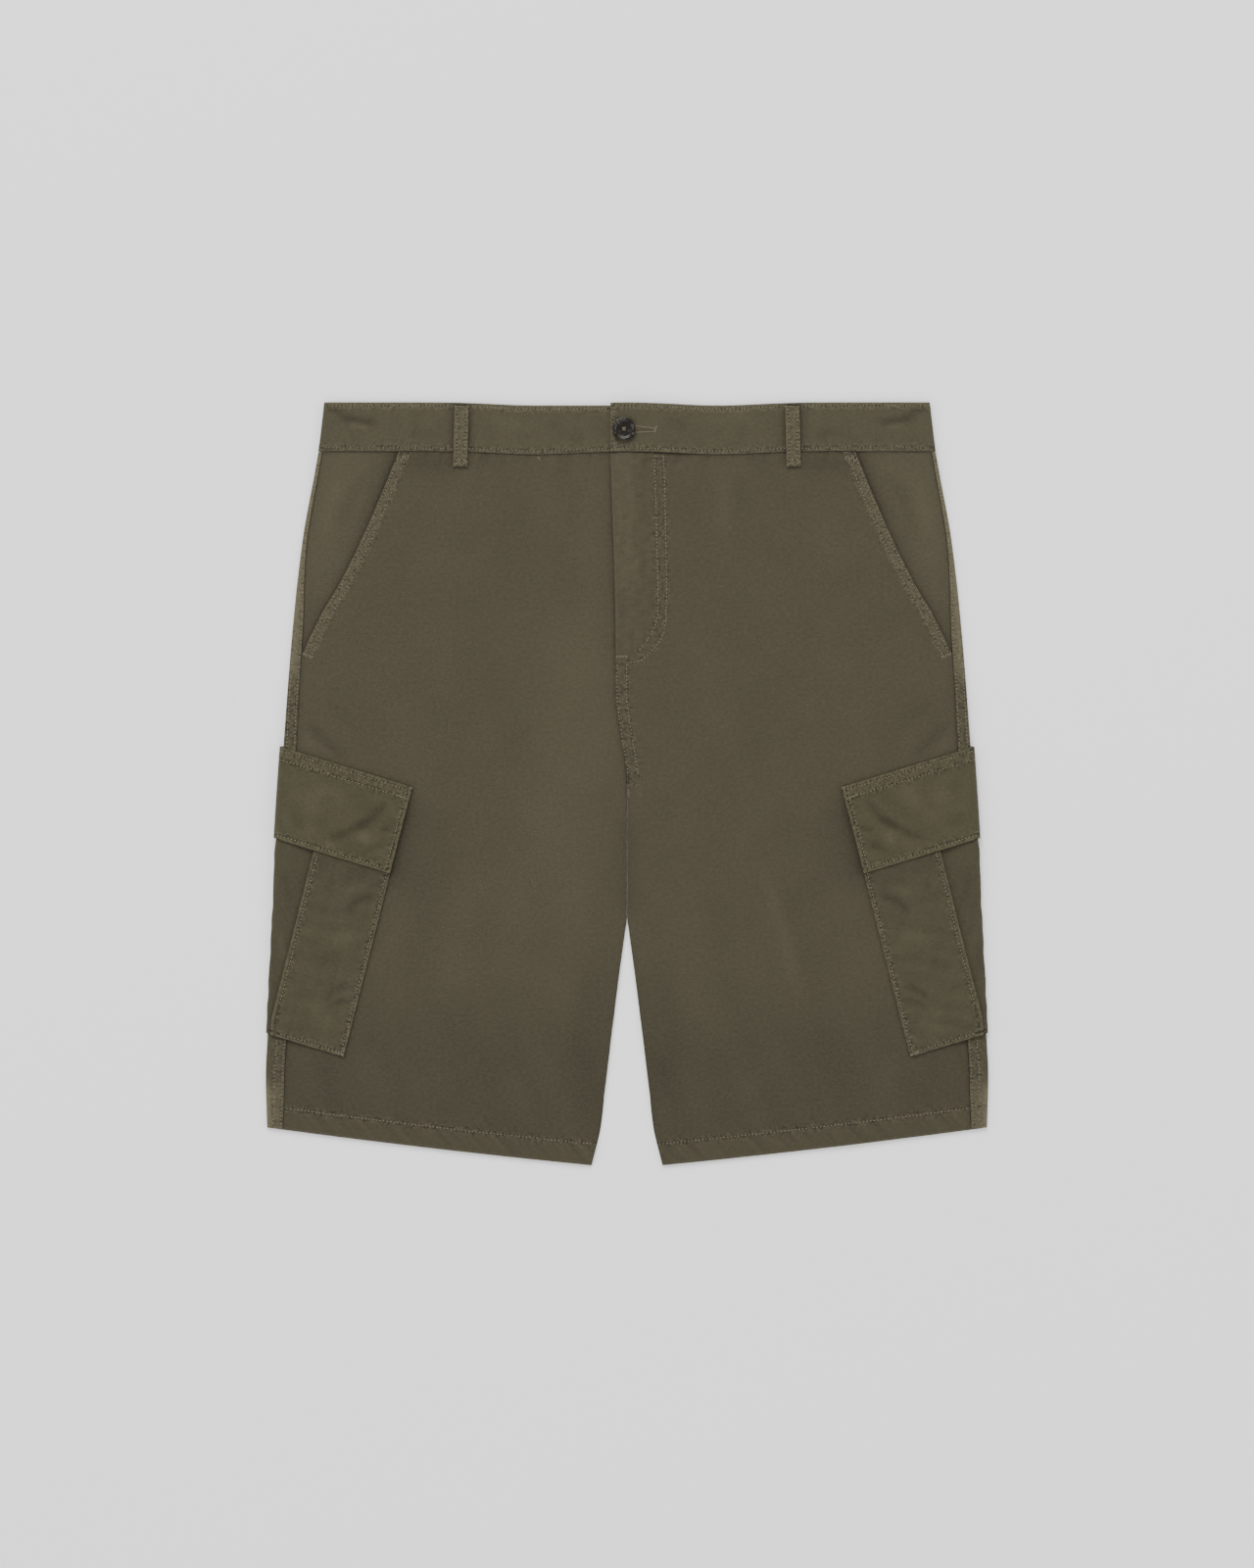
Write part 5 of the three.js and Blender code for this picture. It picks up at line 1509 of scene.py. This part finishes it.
def turned_button(height):
    """A round button with a raised rim, a dished middle and four thread holes."""
    deselect_all()
    bpy.ops.mesh.primitive_cylinder_add(
        vertices=72, radius=BUTTON_RADIUS * MM, depth=BUTTON_THICKNESS * MM,
        location=(BUTTON_X * MM, BUTTON_Y * MM, (height + BUTTON_THICKNESS / 2) * MM))
    button = bpy.context.object
    bpy.ops.object.transform_apply(location=True, rotation=True, scale=True)
    select_faces(button, lambda face: face.normal.z > 0.9)
    bpy.ops.mesh.inset(thickness=1.5 * MM, depth=0)
    bpy.ops.mesh.inset(thickness=0.9 * MM, depth=-0.85 * MM)
    bpy.ops.mesh.inset(thickness=0.8 * MM, depth=-0.1 * MM)
    bpy.ops.mesh.inset(thickness=4.2 * MM, depth=0)
    bpy.ops.object.mode_set(mode="OBJECT")
    select_faces(button, lambda face: face.normal.z < -0.9)
    bpy.ops.mesh.inset(thickness=1.6 * MM, depth=0.0)
    bpy.ops.object.mode_set(mode="OBJECT")
    bevel = button.modifiers.new("rim", "BEVEL")
    bevel.width = 0.45 * MM
    bevel.segments = 4
    bevel.angle_limit = math.radians(35)
    bpy.ops.object.modifier_apply(modifier=bevel.name)
    for hole_x, hole_y in thread_holes():
        deselect_all()
        bpy.ops.mesh.primitive_cylinder_add(vertices=24, radius=0.85 * MM, depth=12 * MM,
                                            location=(hole_x * MM, hole_y * MM, height * MM))
        drill = bpy.context.object
        bpy.context.view_layer.objects.active = button
        cut = button.modifiers.new("hole", "BOOLEAN")
        cut.object = drill
        cut.operation = "DIFFERENCE"
        bpy.ops.object.modifier_apply(modifier=cut.name)
        bpy.data.objects.remove(drill)
    button.select_set(True)
    bpy.ops.object.shade_smooth_by_angle(angle=math.radians(40))
    return button


def thread_holes():
    """Centres of the four thread holes in millimetres."""
    return [(BUTTON_X + 1.9 * math.cos(angle), BUTTON_Y + 1.9 * math.sin(angle))
            for angle in (math.pi / 4 + k * math.pi / 2 for k in range(4))]


def button_thread(height, sizes, material):
    """Crossed threads between the button's holes."""
    points, faces = one_stitch(sizes)
    share = sizes.thread_width / sizes.stitch_length
    unit = points / np.array((1, share, share))
    holes = thread_holes()
    collected = []
    for first, second, level in ((0, 2, 0.0), (1, 3, 0.28), (0, 2, 0.5)):
        start, end = np.array(holes[first]), np.array(holes[second])
        run = (end - start) / np.hypot(*(end - start))
        middle = (start + end) / 2
        for shift in (-0.3, 0.3):
            spot = np.array([*(middle + shift * np.array([-run[1], run[0]])), height + level]) * MM
            basis = np.array([[run[0], -run[1], 0], [run[1], run[0], 0], [0, 0, 1]])
            scaled = unit * np.array((4.6 * MM, 0.45 * MM, 0.5 * MM))
            scaled[:, 2] -= 9.0 * scaled[:, 0] ** 2 / 0.09
            collected.append(scaled @ basis.T + spot)
    all_faces = np.concatenate([faces + k * len(unit) for k in range(len(collected))])
    piece = new_piece("button_thread", np.concatenate(collected), all_faces, material)
    set_values(piece, "tone", np.full(len(unit) * len(collected), 0.6))
    return piece


# What a user would change

class ShortsSizes(bpy.types.PropertyGroup):
    stitch_pitch: bpy.props.FloatProperty(
        name="Stitch pitch", description="From one stitch to the next", default=2.75 * MM, unit="LENGTH")
    stitch_length: bpy.props.FloatProperty(
        name="Stitch length", description="Length of the thread that shows", default=1.7 * MM, unit="LENGTH")
    thread_width: bpy.props.FloatProperty(
        name="Thread width", description="Thickness of the sewing thread", default=0.72 * MM, unit="LENGTH")
    rib_pitch: bpy.props.FloatProperty(
        name="Rib pitch", description="From one twill rib to the next", default=0.95 * MM, unit="LENGTH")
    rib_height: bpy.props.FloatProperty(
        name="Rib height", description="How far the twill ribs stand up", default=0.09 * MM, unit="LENGTH")
    pucker_height: bpy.props.FloatProperty(
        name="Pucker height", description="Small puckers beside the stitch rows", default=1.6 * MM,
        unit="LENGTH")
    fold_strength: bpy.props.FloatProperty(
        name="Fold strength", description="Scales the height of the small creases", default=1.0,
        subtype="FACTOR")
    floor_size: bpy.props.FloatProperty(
        name="Floor size", description="Side of the floor", default=14.0, unit="LENGTH")
    camera_lens: bpy.props.FloatProperty(
        name="Camera lens", description="Focal length in millimetres", default=100.0)
    pixel: bpy.props.FloatProperty(
        name="Photo pixel", description="Real size of one photo pixel", default=0.75 * MM, unit="LENGTH")


def colour_property(name, description, default):
    return bpy.props.FloatVectorProperty(
        name=name, description=description, default=default, size=3, min=0, max=1, subtype="COLOR")


class ShortsColours(bpy.types.PropertyGroup):
    twill: colour_property("Twill", "Fronts and backs", (0.0511, 0.0452, 0.0282))
    band: colour_property("Waistband", "Waistband and belt loops", (0.0541, 0.0485, 0.0300))
    facing: colour_property("Hip facing", "Facings behind the pocket mouths", (0.0558, 0.0496, 0.0311))
    pocket: colour_property("Pocket", "Cargo pockets", (0.0508, 0.0455, 0.0274))
    flap: colour_property("Flap", "Cargo pocket flaps", (0.0516, 0.0470, 0.0268))
    thread: colour_property("Thread", "Sewing thread", (0.147, 0.130, 0.086))
    button: colour_property("Button", "Ground of the button", (0.0066, 0.0051, 0.0040))
    streak: colour_property("Streak", "Streaks in the button", (0.18, 0.155, 0.12))
    floor: colour_property("Floor", "Floor and background", (0.97, 0.97, 0.97))


class ShortsOperator(bpy.types.Operator):
    bl_options = {"REGISTER"}

    def tools(self, context):
        """Sizes, colours and the shared materials."""
        sizes, colours = context.scene.shorts_sizes, context.scene.shorts_colours
        made = bpy.data.materials
        thread_material = made.get("sewing_thread") or thread("sewing_thread", colours.thread)
        return sizes, colours, thread_material


# The photo's rows, the sensor's length along them, and the level at which the cloth has the photo's scale
PHOTO_ROWS, SENSOR, CLOTH_LEVEL = 1600, 36.0, 4.0
# Soft square lights: place and side in metres, power in watts
LIGHTS = (
    ("key", (-0.9, 4.8, 4.4), 3.8, 496.0),
    ("fill_left", (-4.6, -0.3, 3.4), 3.4, 138.0),
    ("fill_right", (4.6, -0.3, 3.4), 3.4, 138.0),
    ("fill_front", (0.0, -4.6, 4.4), 4.4, 172.0),
)
AROUND, AROUND_STRENGTH = (0.9, 0.9, 0.9, 1), 0.41


class SHORTS_OT_stage(ShortsOperator):
    """Camera over the garment, pale floor and soft studio light"""
    bl_idname = "shorts.stage"
    bl_label = "Stage"

    def execute(self, context):
        sizes, colours, _ = self.tools(context)
        camera = bpy.data.objects.new("camera", bpy.data.cameras.new("camera"))
        context.scene.collection.objects.link(camera)
        camera.data.lens = sizes.camera_lens
        camera.data.sensor_width = SENSOR
        height = PHOTO_ROWS * sizes.pixel * sizes.camera_lens / SENSOR
        camera.location = (0, 0, height + CLOTH_LEVEL * MM)
        camera.data.clip_end = 30
        context.scene.camera = camera
        deselect_all()
        bpy.ops.mesh.primitive_plane_add(size=sizes.floor_size, location=(0, 0, -0.05 * MM))
        floor = context.object
        floor.name = "floor"
        bpy.ops.object.transform_apply(location=True, rotation=True, scale=True)
        floor.data.materials.append(paper("floor_paper", colours.floor))
        for name, place, size, power in LIGHTS:
            data = bpy.data.lights.new(name, "AREA")
            data.shape = "SQUARE"
            data.size = size
            data.energy = power
            light = bpy.data.objects.new(name, data)
            light.location = place
            light.rotation_euler = (-Vector(place)).to_track_quat("-Z", "Y").to_euler()
            light.visible_camera = False
            context.scene.collection.objects.link(light)
        world = bpy.data.worlds.new("studio")
        world.use_nodes = True
        background = world.node_tree.nodes["Background"]
        background.inputs["Color"].default_value = AROUND
        background.inputs["Strength"].default_value = AROUND_STRENGTH
        context.scene.world = world
        return {"FINISHED"}


class SHORTS_OT_fronts(ShortsOperator):
    """Front panels with fly, pocket mouths, hems and folds"""
    bl_idname = "shorts.fronts"
    bl_label = "Fronts"

    def execute(self, context):
        sizes, colours, thread_material = self.tools(context)
        material = twill("front_twill", colours.twill, sizes)
        for side in (-1, 1):
            name = f"front_{side_name(side)}"
            cloth = front_cloth(side, sizes)
            piece = sew_up(f"{name}_cloth", cloth, material)
            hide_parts(name)
            stitches = sew_front(side, piece, sizes, thread_material)
        return {"FINISHED"}


class SHORTS_OT_backs(ShortsOperator):
    """Back panels, round the sides to the side seams"""
    bl_idname = "shorts.backs"
    bl_label = "Backs"

    def execute(self, context):
        sizes, colours, thread_material = self.tools(context)
        material = twill("back_twill", colours.twill, sizes)
        for side in (-1, 1):
            name = f"back_{side_name(side)}"
            cloth = back_cloth(side)
            piece = sew_up(f"{name}_cloth", cloth, material)
            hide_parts(name)
            stitches = sew_back(side, piece, sizes, thread_material)
        return {"FINISHED"}


class SHORTS_OT_hip_facings(ShortsOperator):
    """Facings behind the slanted pocket mouths"""
    bl_idname = "shorts.hip_facings"
    bl_label = "Hip facings"

    def execute(self, context):
        sizes, colours, _ = self.tools(context)
        material = twill("facing_twill", colours.facing, sizes)
        for side in (-1, 1):
            name = f"hip_facing_{side_name(side)}"
            cloth = facing_cloth(side, sizes)
            piece = sew_up(f"{name}_cloth", cloth, material)
            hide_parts(name)
        return {"FINISHED"}


class SHORTS_OT_waistband(ShortsOperator):
    """Waistband with its lapped end and buttonhole"""
    bl_idname = "shorts.waistband"
    bl_label = "Waistband"

    def execute(self, context):
        sizes, colours, thread_material = self.tools(context)
        cloth = band_cloth(sizes)
        piece = sew_up("waistband_cloth", cloth, twill("band_twill", colours.band, sizes))
        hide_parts("waistband")
        stitches = sew_band(piece, sizes, thread_material)
        return {"FINISHED"}


class SHORTS_OT_belt_loops(ShortsOperator):
    """Two belt loops on the front and three on the back"""
    bl_idname = "shorts.belt_loops"
    bl_label = "Belt loops"

    def execute(self, context):
        sizes, colours, thread_material = self.tools(context)
        material = twill("loop_twill", colours.band, sizes)
        on_band = BAND_FRONT + BAND_WALL + SEAM_GAP + 0.25
        loops = [(f"belt_loop_front_{side_name(side)}", side * FRONT_LOOP_OUT, on_band, LOOP_ARCH, False)
                 for side in (-1, 1)]
        loops += [(f"belt_loop_back_{side_name(side)}", side * BACK_LOOP_OUT, 0.0, 0.0, True)
                  for side in (-1, 1)]
        loops += [("belt_loop_back_centre", 0.0, 0.0, 0.0, True)]
        for name, x, lower_face, arch, under in loops:
            cloth = loop_cloth(x, lower_face, arch, under)
            piece = sew_up(f"{name}_cloth", cloth, material)
            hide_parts(name)
            stitches = sew_loop(name, x, piece, sizes, thread_material, under)
        return {"FINISHED"}


class SHORTS_OT_cargo_pockets(ShortsOperator):
    """Cargo pockets: recessed pleat and front strip"""
    bl_idname = "shorts.cargo_pockets"
    bl_label = "Cargo pockets"

    def execute(self, context):
        sizes, colours, thread_material = self.tools(context)
        material = twill("pocket_twill", colours.pocket, sizes)
        for side in (-1, 1):
            word = side_name(side)
            pleat = pleat_cloth(side, sizes)
            piece = sew_up(f"pocket_pleat_{word}_cloth", pleat, material)
            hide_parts(f"pocket_pleat_{word}")
            stitches = sew_pleat(side, piece, sizes, thread_material)
            strip = strip_cloth(side, sizes)
            piece = sew_up(f"pocket_panel_{word}_cloth", strip, material)
            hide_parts(f"pocket_panel_{word}")
            stitches = sew_strip(side, piece, sizes, thread_material)
        return {"FINISHED"}


class SHORTS_OT_flaps(ShortsOperator):
    """Pocket flaps, round the sides"""
    bl_idname = "shorts.flaps"
    bl_label = "Flaps"

    def execute(self, context):
        sizes, colours, thread_material = self.tools(context)
        material = twill("flap_twill", colours.flap, sizes)
        for side in (-1, 1):
            word = side_name(side)
            cloth = flap_cloth(side, sizes)
            piece = sew_up(f"pocket_flap_{word}_cloth", cloth, material)
            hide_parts(f"pocket_flap_{word}")
            stitches = sew_flap(side, piece, sizes, thread_material)
        return {"FINISHED"}


class SHORTS_OT_button(ShortsOperator):
    """Marbled waist button and its thread"""
    bl_idname = "shorts.button"
    bl_label = "Button"

    def execute(self, context):
        sizes, colours, thread_material = self.tools(context)
        height = BAND_FRONT + 2 * (BAND_WALL + SEAM_GAP)
        button = turned_button(height)
        button.name = "button_turned"
        button.data.name = "button_turned"
        button.data.materials.append(marbled("button_horn", colours.button, colours.streak))
        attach(button, BODY)
        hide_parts("button")
        button_thread(height + BUTTON_THICKNESS - 0.8, sizes, thread_material)
        return {"FINISHED"}


class SHORTS_PT_panel(bpy.types.Panel):
    """Buttons for every group of pieces"""
    bl_idname = "SHORTS_PT_panel"
    bl_label = "Cargo shorts"
    bl_space_type = "VIEW_3D"
    bl_region_type = "UI"
    bl_category = "Shorts"

    def draw(self, context):
        for operator in OPERATORS:
            self.layout.operator(operator.bl_idname)
        for group in (context.scene.shorts_sizes, context.scene.shorts_colours):
            for name in group.bl_rna.properties.keys():
                if name not in ("rna_type", "name"):
                    self.layout.prop(group, name)


OPERATORS = (
    SHORTS_OT_stage, SHORTS_OT_backs, SHORTS_OT_hip_facings, SHORTS_OT_fronts, SHORTS_OT_waistband,
    SHORTS_OT_belt_loops, SHORTS_OT_cargo_pockets, SHORTS_OT_flaps, SHORTS_OT_button,
)
CLASSES = (ShortsSizes, ShortsColours, *OPERATORS, SHORTS_PT_panel)


def register():
    for kind in CLASSES:
        bpy.utils.register_class(kind)
    bpy.types.Scene.shorts_sizes = bpy.props.PointerProperty(type=ShortsSizes)
    bpy.types.Scene.shorts_colours = bpy.props.PointerProperty(type=ShortsColours)


def unregister():
    del bpy.types.Scene.shorts_colours
    del bpy.types.Scene.shorts_sizes
    for kind in reversed(CLASSES):
        bpy.utils.unregister_class(kind)


def main():
    register()
    bpy.ops.shorts.stage()
    bpy.ops.shorts.backs()
    bpy.ops.shorts.hip_facings()
    bpy.ops.shorts.fronts()
    bpy.ops.shorts.waistband()
    bpy.ops.shorts.belt_loops()
    bpy.ops.shorts.cargo_pockets()
    bpy.ops.shorts.flaps()
    bpy.ops.shorts.button()


if __name__ == "__main__":
    main()
